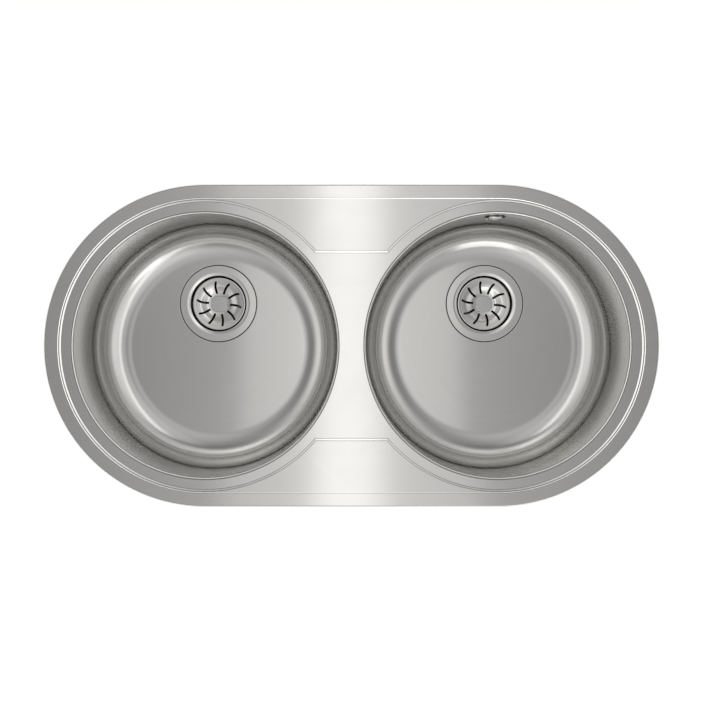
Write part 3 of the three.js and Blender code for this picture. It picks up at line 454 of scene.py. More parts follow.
step_line = softened(
    [(STEP_TOP[0] + 0.3, LEDGE_TOP, 0), (STEP_TOP[0] - 0.3, LEDGE_TOP, STEP_BEND),
     (STEP_FOOT[0] + 0.3, DECK_TOP, STEP_BEND), (STEP_FOOT[0] - 0.6, DECK_TOP, 0)], closed=False, steps=6)
STEP_ARC = 139.0  # degrees; the corner is set a little further on
bpy.ops.mesh.select_all(action="DESELECT")
sweep_end(step_line, 72, math.radians(STEP_ARC), pull=0)
bpy.ops.object.mode_set(mode="OBJECT")
for vertex in deck.data.vertices:
    if vertex.select:
        radius = math.hypot(vertex.co.x / MM - BOWL_X, vertex.co.y / MM)
        corner = step_corner((STEP_TOP[0] - radius) / STEP_RUN)[2]
        vertex.co.x, vertex.co.y = corner.x * MM, corner.y * MM
bpy.ops.object.mode_set(mode="EDIT")
bpy.ops.mesh.extrude_region_move(TRANSFORM_OT_translate={"value": (-step_corner(0.5)[2].x * MM, 0, 0)})
bpy.ops.object.mode_set(mode="OBJECT")
for vertex in deck.data.vertices:
    if vertex.select:
        vertex.co.x = 0
bpy.ops.object.mode_set(mode="EDIT")
print("step corner at", [round(v, 1) for v in step_corner(0)[2][:2]])

# %% The rounded mouth
mouth_line = [
    Vector((MOUTH_EDGE, DECK_TOP)),
    *arc(MOUTH + MOUTH_ROUND, DECK_TOP - MOUTH_ROUND, MOUTH_ROUND, 90, 180, 10),
]
bpy.ops.mesh.select_all(action="DESELECT")
sweep_end(mouth_line, ROUND_TURNS, math.pi)
weld()
print("mouth swept")

# %% Edges of the flat fields
def from_bowl(point):
    return math.hypot(point.x - BOWL_X, point.y)


def on_step(point, run):
    """Whether a point lies on the step's line that is run mm inside (or, negative, outside) its top."""
    radius, half, corner = step_corner(run / STEP_RUN)
    if point.x > corner.x + 1e-3:
        return abs(from_bowl(point) - radius) < 0.02
    return abs(abs(point.y) - half) < 0.02


def on_ledge_edge(point):
    outer = from_bowl(point) if point.x >= BOWL_X else abs(point.y)
    return abs(point.z - LEDGE_TOP) < 1e-3 and abs(outer - (LEDGE_OUTER - 0.3)) < 0.02


def on_step_top(point):
    return abs(point.z - LEDGE_TOP) < 1e-3 and on_step(point, -0.3)


def on_step_foot(point):
    return abs(point.z - DECK_TOP) < 1e-3 and on_step(point, STEP_RUN + 0.6)


def on_mouth_edge(point):
    return abs(point.z - DECK_TOP) < 1e-3 and abs(from_bowl(point) - MOUTH_EDGE) < 0.02


print("the fields' edges can be found")

# %% Flat fields
# A field's edge has to be closed before one face can fill it: the open ends of its rings are joined
# along the two mirror planes first.
def fill_field(ring, other_ring):
    """Joins two open rings along x = 0 and y = 0 and fills between them with one flat face."""
    both = lambda p: ring(p) or other_ring(p)
    right = lambda p: abs(p.y) < 0.01 and p.x > BOWL_X
    for side in (lambda p: abs(p.x) < 0.01, right):
        pick(deck, lambda p: side(p) and both(p))
        bpy.ops.mesh.edge_face_add()
    count = pick(deck, both)
    bpy.ops.mesh.edge_face_add()
    return count


print(fill_field(on_ledge_edge, on_step_top), "points round the tap ledge")
middle_gap = BOWL_X - MOUTH_EDGE
pick(deck, lambda p: on_mouth_edge(p) and abs(p.y) < 0.01 and p.x < BOWL_X)
bpy.ops.mesh.extrude_vertices_move(TRANSFORM_OT_translate={"value": (-middle_gap * MM, 0, 0)})
in_middle = lambda p: abs(p.z - DECK_TOP) < 1e-3 and abs(p.x) < 0.01 and abs(p.y) < 0.01
print(fill_field(on_step_foot, lambda p: on_mouth_edge(p) or in_middle(p)), "points round the bowl deck")

# %% Mirror twice, face up, give the sheet its thickness
def mirrored(piece):
    """Makes the other three quarters from the first."""
    apply_modifier(piece, "MIRROR", use_axis=(True, True, False), use_mirror_merge=True, merge_threshold=1e-5)


def thickened(piece):
    """Turns an open sheet's faces up and gives it its thickness below them."""
    if sum(face.normal.z * face.area for face in piece.data.polygons) < 0:
        only(piece)
        bpy.ops.object.mode_set(mode="EDIT")
        bpy.ops.mesh.select_all(action="SELECT")
        bpy.ops.mesh.flip_normals()
        bpy.ops.object.mode_set(mode="OBJECT")
    apply_modifier(piece, "SOLIDIFY", thickness=SHEET * MM, offset=-1, use_even_offset=True)


close_up(deck)
mirrored(deck)
thickened(deck)
set_in_frame(deck, "deck")

# %% [markdown]
# ## The bowls
# A bowl is spun like any deep-drawn part: a nearly upright wall, a generous round of 50 mm and a flat
# floor. The strainer sits off the middle, towards the taps, so its recess is spun round an
# axis of its own, and the two open rings are bridged. Many turns keep the reflections in the wall calm.

# %% Bowl section
FLOOR = -175
DRAFT = math.radians(0.6)
FLOOR_ROUND = 50
WALL_TOP = DECK_TOP - MOUTH_ROUND
WALL_FOOT_HEIGHT = FLOOR + FLOOR_ROUND * (1 - math.sin(DRAFT))
FLOOR_EDGE = MOUTH - (WALL_TOP - WALL_FOOT_HEIGHT) * math.tan(DRAFT) - FLOOR_ROUND * math.cos(DRAFT)
BOWL_TURNS = 192
DRAIN_Y = 64
FLANGE = 56.7
RECESS = 58.0
RECESS_DEPTH = 2.2
DRAIN_HOLE = 45


def wall_radius(height):
    return MOUTH - (WALL_TOP - height) * math.tan(DRAFT)


wall_heights = [WALL_TOP, -6, -10, *range(-14, -66, -3), -72, -84, -96, -108, -120]
bowl_line = [Vector((wall_radius(height), height)) for height in wall_heights]
bowl_line += arc(FLOOR_EDGE, FLOOR + FLOOR_ROUND, FLOOR_ROUND, -math.degrees(DRAFT), -90, 28)
recess_line = softened([(RECESS + 1.6, FLOOR, 0), (RECESS, FLOOR, 0.5), (RECESS, FLOOR - RECESS_DEPTH, 0.4),
                        (DRAIN_HOLE, FLOOR - RECESS_DEPTH, 0)], closed=False)
print("floor edge at", round(FLOOR_EDGE, 2), "mm")

# %% [markdown]
# The overflow sits in a round recess that is pressed back into the right-hand bowl's wall. The wall's
# faces are subdivided there, set on the true cone, and moved back to a flat seat. The sheet turns
# round the recess's edge within 1.6 mm, so the faces inside and near it are subdivided once more.

# %% Overflow sizes
OVERFLOW_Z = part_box("overflow_cover")[0].z / MM / 2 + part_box("overflow_cover")[1].z / MM / 2
DIMPLE = 17
DIMPLE_EDGE = 1.6  # over which the sheet turns back to the wall
SEAT_Y = wall_radius(OVERFLOW_Z) + 2
OVERFLOW_HOLE = 13
PATCH = (27, 24)  # half width and half height of the wall that is subdivided
ROUNDS = ((99, 4), (19.5, 1))  # (within this radius, number of cuts)
print("overflow at", round(OVERFLOW_Z, 1), "mm")

# %% Press the dimple
def press_dimple(piece):
    """Subdivides the wall where the overflow sits and moves it back to a flat seat."""
    near = lambda p: p.y > 0 and abs(p.x) < PATCH[0] and abs(p.z - OVERFLOW_Z) < PATCH[1]
    for reach, cuts in ROUNDS:
        pick(piece, lambda p: near(p) and math.hypot(p.x, p.z - OVERFLOW_Z) < reach)
        bpy.ops.mesh.subdivide(number_cuts=cuts)
    bpy.ops.object.mode_set(mode="OBJECT")
    for vertex in piece.data.vertices:
        point = vertex.co / MM
        if not near(point):
            continue
        radius = wall_radius(point.z) / math.hypot(point.x, point.y)
        point.x, point.y = point.x * radius, point.y * radius
        outside = math.hypot(point.x, point.z - OVERFLOW_Z) - DIMPLE
        out = min(max((outside + DIMPLE_EDGE / 2) / DIMPLE_EDGE, 0), 1)
        out = out * out * (3 - 2 * out)
        point.y = SEAT_Y * (1 - out) + point.y * out
        vertex.co = point * MM


print("the dimple is", 2 * DIMPLE, "mm across")

# %% Build both bowls
def pressed_bowl(name, x, has_overflow):
    piece = new_piece(name)
    spin_section(bowl_line, (0, 0, 0), turns=BOWL_TURNS)
    bpy.ops.mesh.select_all(action="DESELECT")
    spin_section(recess_line, (0, DRAIN_Y, 0), turns=BOWL_TURNS)
    weld()
    level = lambda p: abs(p.z - FLOOR) < 1e-3
    pick(piece, lambda p: level(p) and (abs(math.hypot(p.x, p.y) - FLOOR_EDGE) < 0.01
                                        or abs(math.hypot(p.x, p.y - DRAIN_Y) - RECESS - 1.6) < 0.01))
    bpy.ops.mesh.bridge_edge_loops()
    close_up(piece)
    if has_overflow:
        press_dimple(piece)
    thickened(piece)
    if has_overflow:
        cut(piece, rod("hole", OVERFLOW_HOLE, 170, 190, foot=(0, 0, OVERFLOW_Z), axis=REAR, turns=64))
    piece.location.x = x * MM
    return settle(piece)


for side, x in (("left", -BOWL_X), ("right", BOWL_X)):
    set_in_frame(pressed_bowl(f"{side}_pressed_bowl", x, side == "right"), f"{side}_bowl")

# %% [markdown]
# ## The strainer
# The cup hangs in the bowl's recess by its flange, which lies flush with the floor. Its sheet is one
# line with rounded bends, turned, and given its other face. A strap across the seat takes the long
# screw that clamps the waste body from below.

# %% Strainer cup
CUP = 42
CUP_DEPTH = 42
SEAT_OPENING = 20
STRAP = (-49.2, -48.0)
SCREW_SHANK = 3
cup_line = softened([(SEAT_OPENING, STRAP[0], 0), (SEAT_OPENING, -CUP_DEPTH, 1.6), (41, -CUP_DEPTH, 6),
                     (CUP, -1.5, 0.8), (46.2, 0, 7), (FLANGE, 0, 0)], closed=False, steps=9)


def strainer_cup(name):
    cup = turned(name, [*cup_line, *reversed(far_face(cup_line, SHEET))], turns=128)
    strap = block("strap", (-SEAT_OPENING - 0.4, -4.5, STRAP[0]), (SEAT_OPENING + 0.4, 4.5, STRAP[1]))
    bevelled(strap, 0.3)
    cut(cup, strap, "UNION")
    cut(cup, rod("hole", 3.4, -52, -45, turns=32))
    return cup


cup_pattern = strainer_cup("cup_pattern")
print("cup with", len(cup_pattern.data.polygons), "faces")

# %% [markdown]
# ## The basket
# This is the piece with the most work in it: a pressed dish with a level rim, ten curved slots with
# round ends, and a grip that stands on its hub. A pressed dish is best drawn by its slope, which
# is what the light follows: it leaves the floor round the grip, climbs half way out and runs almost
# level to the rim. Its middle is drawn down into a well for the hub. The slots are one cutter, drawn
# once, copied ten times round the axis and taken out in one cut.

# %% Basket sizes
DISH = 39.4
DISH_RIM_TOP = -9.7
HUB_TOP = -24.9
STEM = 4
SLOTS = 10
WELL = 9.6
SLOT_ENDS = (15.4, 34.4)
SLOT_HALF = 1.7
DISH_FLOOR = 12  # radius where the slopes start
DISH_SLOPES = [(12, 0), (16.5, 9), (20, 22), (25, 25), (27.5, 17), (30.5, 5), (35, 2), (36.4, 8), (37.4, 3),
               (38.4, 0)]  # (radius, degrees)
STRIDE = 0.4


def dish_section():
    """The dish's inside as a line, stepped outwards along its slope, with the well in its middle."""
    flank = [Vector((DISH_FLOOR, 0))]
    while flank[-1].x < DISH_SLOPES[-1][0]:
        middle = flank[-1].x + STRIDE / 2
        near, far = [pair for pair in zip(DISH_SLOPES, DISH_SLOPES[1:]) if pair[0][0] <= middle][-1]
        slope = near[1] + (far[1] - near[1]) * min((middle - near[0]) / (far[0] - near[0]), 1)
        flank.append(flank[-1] + Vector((STRIDE, STRIDE * math.tan(math.radians(slope)))))
    floor = DISH_RIM_TOP - flank[-1].y
    print("dish", round(flank[-1].y, 2), "mm deep round the grip")
    well = softened([(STEM + 0.3, HUB_TOP, 0), (WELL - 0.6, HUB_TOP, 1.0), (WELL + 0.6, floor, 1.0),
                     (DISH_FLOOR, floor, 0)], closed=False)
    rim = [*arc(DISH - 0.4, DISH_RIM_TOP - 0.4, 0.4, 90, 0, 3), Vector((DISH, DISH_RIM_TOP - 1.2))]
    return [*well, *(point + Vector((0, floor)) for point in flank[1:]), *rim]


dish_line = dish_section()
print("dish drawn with", len(dish_line), "points")

# %% Outline of a slot
def slot_outline():
    """A band along a bent line, with round ends."""
    def along(t):
        radius = SLOT_ENDS[0] + (SLOT_ENDS[1] - SLOT_ENDS[0]) * t
        angle = math.radians(-5.8 - 4.7 * t + 3.0 * 4 * t * (1 - t))
        return Vector((radius * math.cos(angle), radius * math.sin(angle)))

    half = SLOT_HALF
    last = 9
    middle = [along(k / last) for k in range(last + 1)]
    left, right = [], []
    for k, point in enumerate(middle):
        ahead = (middle[min(k + 1, last)] - middle[max(k - 1, 0)]).normalized()
        across = Vector((-ahead.y, ahead.x)) * half
        inset = half if k in (0, last) else 0
        point = point + ahead * (inset if k == 0 else -inset)
        left.append(point + across)
        right.append(point - across)
    tip = (middle[last] - middle[last - 1]).normalized()
    tail = (middle[0] - middle[1]).normalized()
    round_tip = [middle[last] - tip * half + Matrix.Rotation(a, 2) @ tip * half for a in (0.8, 0, -0.8)]
    round_tail = [middle[0] - tail * half + Matrix.Rotation(a, 2) @ tail * half for a in (0.8, 0, -0.8)]
    return [*left, *round_tip, *reversed(right), *round_tail]


print(len(slot_outline()), "points round a slot")

# %% Plates from an outline
in_section = lambda p, depth: Vector((p.x, depth, p.y)) * MM


def plate(name, outline, low, high, place=None):
    """A flat outline filled with one face and extruded from low to high."""
    place = place or (lambda p, height: Vector((p.x, p.y, height)) * MM)
    piece = new_piece(name)
    draw([*outline, outline[0]], lambda p: place(p, low))
    weld(1e-6)
    bpy.ops.mesh.edge_face_add()
    lift = place(outline[0], high) - place(outline[0], low)
    bpy.ops.mesh.extrude_region_move(TRANSFORM_OT_translate={"value": lift})
    return close_up(piece)


def basket_dish(name):
    dish = turned(name, [*dish_line, *reversed(far_face(dish_line, SHEET))], turns=160)
    slot = plate("slot", slot_outline(), HUB_TOP - 6, -4)
    slots = [copied(slot, f"slot_{i}", turn=36 * i) for i in range(1, SLOTS)]
    cut(dish, merged("slots", slot, *slots))
    return dish


dish_pattern = basket_dish("dish_pattern")
print("dish with", len(dish_pattern.data.polygons), "faces")

# %% [markdown]
# ### The grip
# A grip like this is moulded and plated. It starts as a cube: its upright edges are bevelled wide, its
# under side is inset and pulled down into a waist, and a narrow bevel takes the sharpness off the top.

# %% Grip
KNOB_TOP = -10.2
KNOB_EDGE = 4
KNOB_HALF = (12.6, 11.7)
WAIST = (2.6, 6)  # heights of the two steps of the waist


def basket_knob(name):
    across, deep = KNOB_HALF
    grip = block(name, (-across, -deep, KNOB_TOP - KNOB_EDGE), (across, deep, KNOB_TOP))
    bevel_upright(grip, 8.8, 12)
    bpy.ops.mesh.select_mode(type="FACE")
    bpy.ops.mesh.select_all(action="DESELECT")
    bpy.ops.object.mode_set(mode="OBJECT")
    for face in grip.data.polygons:
        face.select = face.normal.z < -0.9
    bpy.ops.object.mode_set(mode="EDIT")
    bpy.ops.mesh.inset(thickness=1.2 * MM, depth=0)
    bpy.ops.mesh.inset(thickness=3.2 * MM, depth=WAIST[0] * MM)
    bpy.ops.mesh.inset(thickness=0.4 * MM, depth=WAIST[1] * MM)
    rest = KNOB_TOP - KNOB_EDGE - (HUB_TOP + 0.3) - sum(WAIST)
    bpy.ops.mesh.inset(thickness=-0.9 * MM, depth=rest * MM)
    bpy.ops.mesh.select_mode(type="VERT")
    close_up(grip)
    bevelled(grip, 0.9, segments=4, angle=40)
    return grip


knob_pattern = basket_knob("knob_pattern")
heights = [vertex.co.z / MM for vertex in knob_pattern.data.vertices]
print("grip from", round(min(heights), 2), "to", round(max(heights), 2), "mm")

# %% Stem and plug
SEAT = -CUP_DEPTH + 0.3
stem_pattern = turned("stem_pattern", softened([
    (0, HUB_TOP, 0), (STEM, HUB_TOP, 0.4), (STEM, HUB_TOP - 1.1, 0), (9, HUB_TOP - 1.1, 0.3),
    (9, HUB_TOP - 3.1, 0.6), (5, HUB_TOP - 3.1, 0.5), (5, SEAT + 7.6, 0.8), (13, SEAT + 6.7, 0.6),
    (15, SEAT + 4.3, 0.4), (STEM, SEAT + 4.3, 0), (STEM, SEAT - 0.3, 0), (6.5, SEAT - 0.3, 0.3),
    (6.5, SEAT - 1.8, 0.5), (0, SEAT - 1.8, 0)]), turns=64)
plug_pattern = turned("plug_pattern", softened([
    (STEM + 0.3, SEAT, 0), (22, SEAT, 0.8), (24, SEAT + 1, 0.5), (23, SEAT + 2, 0.4), (18, SEAT + 4, 1.0),
    (STEM + 0.3, SEAT + 4, 0.3)]), turns=96)
print("stem and plug turned")

# %% [markdown]
# ## The waste under the bowl
# The plastic body is turned, with a wall of 2.6 mm, and gets six gussets under its flange, a hub on
# spokes that takes the long screw, and a ribbed outlet. The right-hand one also has an inlet for the
# overflow hose.

# %% Waste body
CHAMBER = 46
BODY_TOP = -5.5
OUTLET = 23.9
OUTLET_ROOT = OUTLET - 0.9
THREAD_PITCH = 2.3
OUTLET_TOP, OUTLET_FOOT = -70, -92
INLET_Z = -47
INLET_END = 68.6
TUBE = 8.7  # the ends that the hose slips over
TUBE_BORE = 6.7


def waste_body(name, has_inlet):
    threads = []
    for k in range(8):
        z = OUTLET_TOP - 4 - THREAD_PITCH * k
        threads += [(OUTLET_ROOT, z, 0), (OUTLET, z - 0.7, 0.15), (OUTLET, z - 1.0, 0.15),
                    (OUTLET_ROOT, z - 1.7, 0)]
    body = turned(name, softened([
        (CHAMBER, BODY_TOP, 0.3), (58, BODY_TOP, 0.5), (58, BODY_TOP - 4, 0.8), (48.6, BODY_TOP - 4, 1.2),
        (48.6, -60, 4), (26.5, OUTLET_TOP, 2), (OUTLET_ROOT, OUTLET_TOP - 2, 0), *threads,
        (OUTLET_ROOT, OUTLET_FOOT, 0.5), (20.5, OUTLET_FOOT, 0.4), (20.5, OUTLET_TOP + 1, 1),
        (CHAMBER, -58, 4)], steps=3), turns=96)
    outline = [Vector(p) for p in [(47.6, BODY_TOP - 3), (47.6, BODY_TOP - 22), (48.7, BODY_TOP - 22),
                                   (56.6, BODY_TOP - 5), (56.6, BODY_TOP - 3)]]
    for k in range(6):
        rib = plate("rib", outline, -1, 1, place=in_section)
        cut(body, copied(rib, "turned_rib", turn=60 * k + 30), "UNION")
        bpy.data.objects.remove(rib)
    for k in range(2):
        spoke = block("spoke", (-21.5, -2, OUTLET_TOP - 6), (21.5, 2, OUTLET_TOP))
        cut(body, copied(spoke, "turned_spoke", turn=90 * k), "UNION")
        bpy.data.objects.remove(spoke)
    cut(body, rod("hub", 6.5, OUTLET_TOP - 6.2, OUTLET_TOP + 0.2, turns=32), "UNION")
    cut(body, rod("hole", 3.3, OUTLET_TOP - 8, OUTLET_TOP + 2, turns=32))
    if has_inlet:
        inlet = {"foot": (0, 0, INLET_Z), "axis": REAR, "turns": 48}
        cut(body, rod("tube", TUBE, 47, INLET_END, **inlet), "UNION")
        cut(body, rod("bore", TUBE_BORE, 44, INLET_END + 2, **inlet))
    return body


body_patterns = {side: waste_body(f"{side}_body_pattern", side == "right") for side in ("left", "right")}
print({side: len(body.data.polygons) for side, body in body_patterns.items()}, "faces")

# %% Centre screw and gaskets
screw_pattern = turned("screw_pattern", softened([
    (0, -45.1, 0), (4.4, -45.1, 0.8), (5.2, -45.9, 0.4), (5.2, -47.7, 0.3), (SCREW_SHANK, -47.7, 0),
    (SCREW_SHANK, -78, 0.6), (0, -78, 0)]), turns=48)
cut(screw_pattern, block("slot", (-6, -0.6, -46.4), (6, 0.6, -44)))
flange_gasket_pattern = turned("flange_gasket_pattern", softened([
    (46.3, -2.2, 0.4), (57.85, -2.2, 0.2), (57.85, -0.5, 0.2), (57.1, -0.5, 0.1), (57.1, -0.8, 0),
    (46.3, -0.8, 0.4)]), turns=128)
body_gasket_pattern = turned("body_gasket_pattern", band(46.5, 57, BODY_TOP, -3, 0.8))
print("screw and gaskets turned")

# %% Set both strainers
drain_patterns = {
    "strainer_cup": cup_pattern, "basket_dish": dish_pattern, "basket_knob": knob_pattern,
    "basket_stem": stem_pattern, "basket_plug": plug_pattern, "centre_screw": screw_pattern,
    "flange_gasket": flange_gasket_pattern, "body_gasket": body_gasket_pattern,
}
for side, x in (("left", -BOWL_X), ("right", BOWL_X)):
    for role, pattern in {**drain_patterns, "waste_body": body_patterns[side]}.items():
        piece = copied(pattern, f"{side}_{role}_piece", move=(x, DRAIN_Y, FLOOR))
        set_in_frame(piece, f"{side}_{role}")
for pattern in (*drain_patterns.values(), *body_patterns.values()):
    bpy.data.objects.remove(pattern)
print("strainers set")

# %% [markdown]
# ## The overflow
# A round cap stands 4 mm proud of the wall, on a black seal that keeps it off the recess. Four curved
# windows let the water through, and one screw holds it against the plastic housing behind the wall.
# The cap's face follows the wall's draft, so its points are leant back by that angle.

# %% Cap and seal sizes
wall_axis = {"foot": (BOWL_X, 0, OVERFLOW_Z), "axis": REAR}
COVER_FACE = 13.4
WINDOW = (5.8, 10)
COVER_FRONT = SEAT_Y - 6.1
COVER_FOOT = (SEAT_Y - 1.6, 16.2)


def leant(piece):
    """Leans the part of a cap or seal that stands in front of its foot back with the wall."""
    for vertex in piece.data.vertices:
        if vertex.co.y / MM < COVER_FOOT[0] - 0.4:
            vertex.co.y += (vertex.co.z - OVERFLOW_Z * MM) * math.tan(DRAFT)
    return piece


def window():
    """One curved window of the cap's face."""
    sweep = math.pi / 4 - 0.22
    angles = [-sweep + 2 * sweep * k / 12 for k in range(13)]
    outer = [Vector((math.cos(a), math.sin(a))) * WINDOW[1] for a in angles]
    inner = [Vector((math.cos(a), math.sin(a))) * WINDOW[0] for a in reversed(angles)]
    return [*outer, *inner]


print(len(window()), "points round a window of the cap")

# %% Cap
cover_front = softened([
    (2.3, COVER_FRONT + 1.8, 0), (4.2, COVER_FRONT + 1.8, 0.3), (4.7, COVER_FRONT, 0.5),
    (12.4, COVER_FRONT + 0.25, 3), (COVER_FACE, COVER_FRONT + 1.4, 0.8), (COVER_FACE, COVER_FRONT + 3, 0)],
    closed=False, steps=5)
cover_back = softened([
    (COVER_FACE - 0.9, COVER_FRONT + 3, 0), (COVER_FACE - 0.9, COVER_FRONT + 1.8, 0.4),
    (11.8, COVER_FRONT + 1.2, 1), (5.6, COVER_FRONT + 1, 0.4), (5.0, COVER_FRONT + 2.8, 0.3),
    (2.3, COVER_FRONT + 2.8, 0)], closed=False, steps=3)
cover = turned("overflow_cover_piece", [*cover_front, *cover_back], **wall_axis)
for k in range(4):
    turn = Matrix.Rotation(k * math.pi / 2, 2)
    cut(cover, plate("window", [turn @ p for p in window()], COVER_FRONT - 4, SEAT_Y + 4,
                     place=lambda p, depth: Vector((BOWL_X + p.x, depth, OVERFLOW_Z + p.y)) * MM))
bevelled(cover, 0.2, angle=50)
set_in_frame(leant(cover), "overflow_cover")

# %% Seal between cap and recess
seal_foot, seal_reach = COVER_FOOT
cover_seal = turned("overflow_cover_seal", softened([
    (12.2, SEAT_Y, 0.2), (seal_reach, SEAT_Y, 0.5), (seal_reach, seal_foot, 0.6), (13.2, seal_foot, 0.6),
    (13.2, COVER_FRONT + 3.2, 0.3), (12.2, COVER_FRONT + 3.2, 0.3)], steps=3), **wall_axis)
set_in_frame(leant(cover_seal), "overflow_cover")
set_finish(cover_seal, "black_rubber")

# %% Overflow screw and gasket
head_back = COVER_FRONT + 1.5
overflow_screw = turned("overflow_screw_piece", softened([
    (0, SEAT_Y + 22.0, 0), (2, SEAT_Y + 22.0, 0.4), (2, head_back, 0), (3.8, head_back, 0.2),
    (3.3, head_back - 1.3, 0.8), (0, head_back - 1.7, 0)]), turns=48, **wall_axis)
for size in ((2.4, 0.35), (0.35, 2.4)):
    cut(overflow_screw, block("recess", (BOWL_X - size[0], head_back - 3, OVERFLOW_Z - size[1]),
                              (BOWL_X + size[0], head_back - 0.8, OVERFLOW_Z + size[1])))
set_in_frame(overflow_screw, "overflow_screw")
GASKET_FACE = SEAT_Y + SHEET
HOUSING_FACE = GASKET_FACE + 2.5
overflow_gasket = turned("overflow_gasket_piece", band(13.5, 19, GASKET_FACE, HOUSING_FACE, 0.6),
                         turns=64, **wall_axis)
set_in_frame(overflow_gasket, "overflow_gasket")

# %% Housing behind the wall
HOUSING = 20
HOUSING_DEPTH = 25
HOSE_Y = HOUSING_FACE + HOUSING_DEPTH / 2
SPIGOT_TOP = OVERFLOW_Z - HOUSING
SPIGOT_FOOT = SPIGOT_TOP - 20
back = HOUSING_FACE + HOUSING_DEPTH
housing = turned("overflow_housing_piece", softened([
    (18, HOUSING_FACE, 0.3), (HOUSING, HOUSING_FACE, 0.4), (HOUSING, back, 3), (0, back, 0), (0, back - 2, 0),
    (2.3, back - 2, 0), (2.3, HOUSING_FACE + 4, 0.2), (4.5, HOUSING_FACE + 4, 0.3), (4.5, back - 2, 0.5),
    (18, back - 2, 2)]), turns=64, **wall_axis)
hose_axis = {"foot": (BOWL_X, HOSE_Y, 0), "turns": 48}
cut(housing, rod("spigot", TUBE, SPIGOT_FOOT, OVERFLOW_Z - 18.4, **hose_axis), "UNION")
cut(housing, rod("bore", TUBE_BORE, SPIGOT_FOOT - 2, OVERFLOW_Z - 12, **hose_axis))
set_in_frame(housing, "overflow_housing")

# %% [markdown]
# ### The ribbed hose
# The hose hangs from the housing, turns under the bowl and slips over the inlet of the right-hand
# waste. It is turned straight, ribs and all, and its points are then carried onto the bent path.

# %% Hose
HOSE_BEND = 50
BORE, ROOT, CREST = 9, 10, 11.6  # radii of the hose
CUFF = 23.2
HOSE_FOOT = FLOOR + INLET_Z
HOSE_START = SPIGOT_TOP - 0.3
HOSE_END = DRAIN_Y + 48.6 + 0.3
drop = HOSE_START - (HOSE_FOOT + HOSE_BEND)
bend = math.pi / 2 * HOSE_BEND
run = HOSE_Y - HOSE_BEND - HOSE_END
hose_length = drop + bend + run
ribs = math.floor((hose_length - 2 * CUFF) / 5)
pitch = (hose_length - 2 * CUFF) / ribs
hose_line = [(BORE, 0, 0), (CREST, 0, 0.6), (CREST, CUFF - 1.2, 0.5)]
for k in range(ribs):
    s = CUFF + k * pitch
    hose_line += [(ROOT, s, 0.5), (ROOT, s + 0.28 * pitch, 0.5), (CREST, s + 0.45 * pitch, 0.6),
                  (CREST, s + 0.83 * pitch, 0.6)]
hose_line += [(ROOT, hose_length - CUFF, 0.5), (CREST, hose_length - CUFF + 1.2, 0.5),
              (CREST, hose_length, 0.6), (BORE, hose_length, 0)]
inside = [(BORE, hose_length * k / 40, 0) for k in range(39, 0, -1)]
hose = turned("overflow_hose_piece", softened(hose_line + inside, steps=2), turns=40)
for vertex in hose.data.vertices:
    x, across, s = vertex.co / MM
    turn = min(max(s - drop, 0) / HOSE_BEND, math.pi / 2)
    past = max(0, s - drop - bend)
    y = HOSE_Y - HOSE_BEND + HOSE_BEND * math.cos(turn) - past
    z = (HOSE_START - s) if s <= drop else HOSE_FOOT + HOSE_BEND - HOSE_BEND * math.sin(turn)
    vertex.co = Vector((BOWL_X + x, y + across * math.cos(turn), z - across * math.sin(turn))) * MM
pick(hose, lambda p: True)
close_up(hose)
set_in_frame(hose, "overflow_hose")
print("hose", round(hose_length), "mm long,", ribs, "ribs")

# %% Hose nuts
NUT, NUT_HEIGHT, NUT_GRIPS = 16.2, 13, 16


def hose_nut(name, low, foot, axis):
    """A round nut with grips."""
    high = low + NUT_HEIGHT
    nut = turned(name, softened([(13.2, low, 0.3), (NUT, low, 0.8), (NUT, high, 0.8), (13.2, high, 0.3)]),
                 foot=foot, axis=axis)
    across = 1 if axis == UP else 2
    for vertex in nut.data.vertices:
        point = vertex.co / MM - Vector(foot)
        if math.hypot(point.x, point[across]) > NUT - 1:
            grow = 1 + 0.03 * max(0, math.cos(NUT_GRIPS * math.atan2(point[across], point.x)))
            point.x *= grow
            point[across] *= grow
            vertex.co = (point + Vector(foot)) * MM
    return nut


set_in_frame(hose_nut("upper_nut_piece", SPIGOT_TOP - 13.6, (BOWL_X, HOSE_Y, 0), UP), "overflow_upper_nut")
set_in_frame(hose_nut("lower_nut_piece", HOSE_END + 0.3, (BOWL_X, 0, HOSE_FOOT), REAR), "overflow_lower_nut")

# %% [markdown]
# ## Rim seal, sound pads and clips
# Under the rim a foam strip keeps water out, under each bowl a felt of bitumen damps its ring, and
# eight folded clips pull the sink down on the worktop.

# %% Rim seal
seal = new_piece("rim_seal_piece")
seal_line = band(206.5, 214.5, 0, LEDGE_TOP, 0.8, steps=3)
sweep_end([*seal_line, seal_line[0]], ROUND_TURNS // 2, math.pi / 2, pull=BOWL_X)
close_up(seal)
mirrored(seal)
pick(seal, lambda p: True)
close_up(seal)
set_in_frame(seal, "rim_seal")

# %% Sound pads
for side in ("left", "right"):
    low, high = [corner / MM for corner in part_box(f"{side}_sound_pad")]
    pad = block(f"{side}_sound_pad_piece", low, high)
    bevel_upright(pad, 12, 8)
    bpy.ops.mesh.select_mode(type="VERT")
    close_up(pad)
    bevelled(pad, 0.6, angle=60)
    set_in_frame(pad, f"{side}_sound_pad")

# %% [markdown]
# ### A clip
# The hanger is a folded strip, spot-welded under the deck. The claw is a channel whose toothed sides
# bite the worktop's under side, and an M5 screw pulls it up. One clip is made with +X across the rim
# and copied eight times.

# %% Clip pattern
STEEL = 1.5
HANGER = (186.5, 203)
TAB_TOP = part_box("clip_hanger_1")[0].z / MM + STEEL
FOOT_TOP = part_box("clip_hanger_5")[1].z / MM
CLAW_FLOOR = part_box("clip_claw_1")[0].z / MM
SCREW_X = 196.5
SCREW_HOLE = 2.8
SCREW_PITCH = 0.8


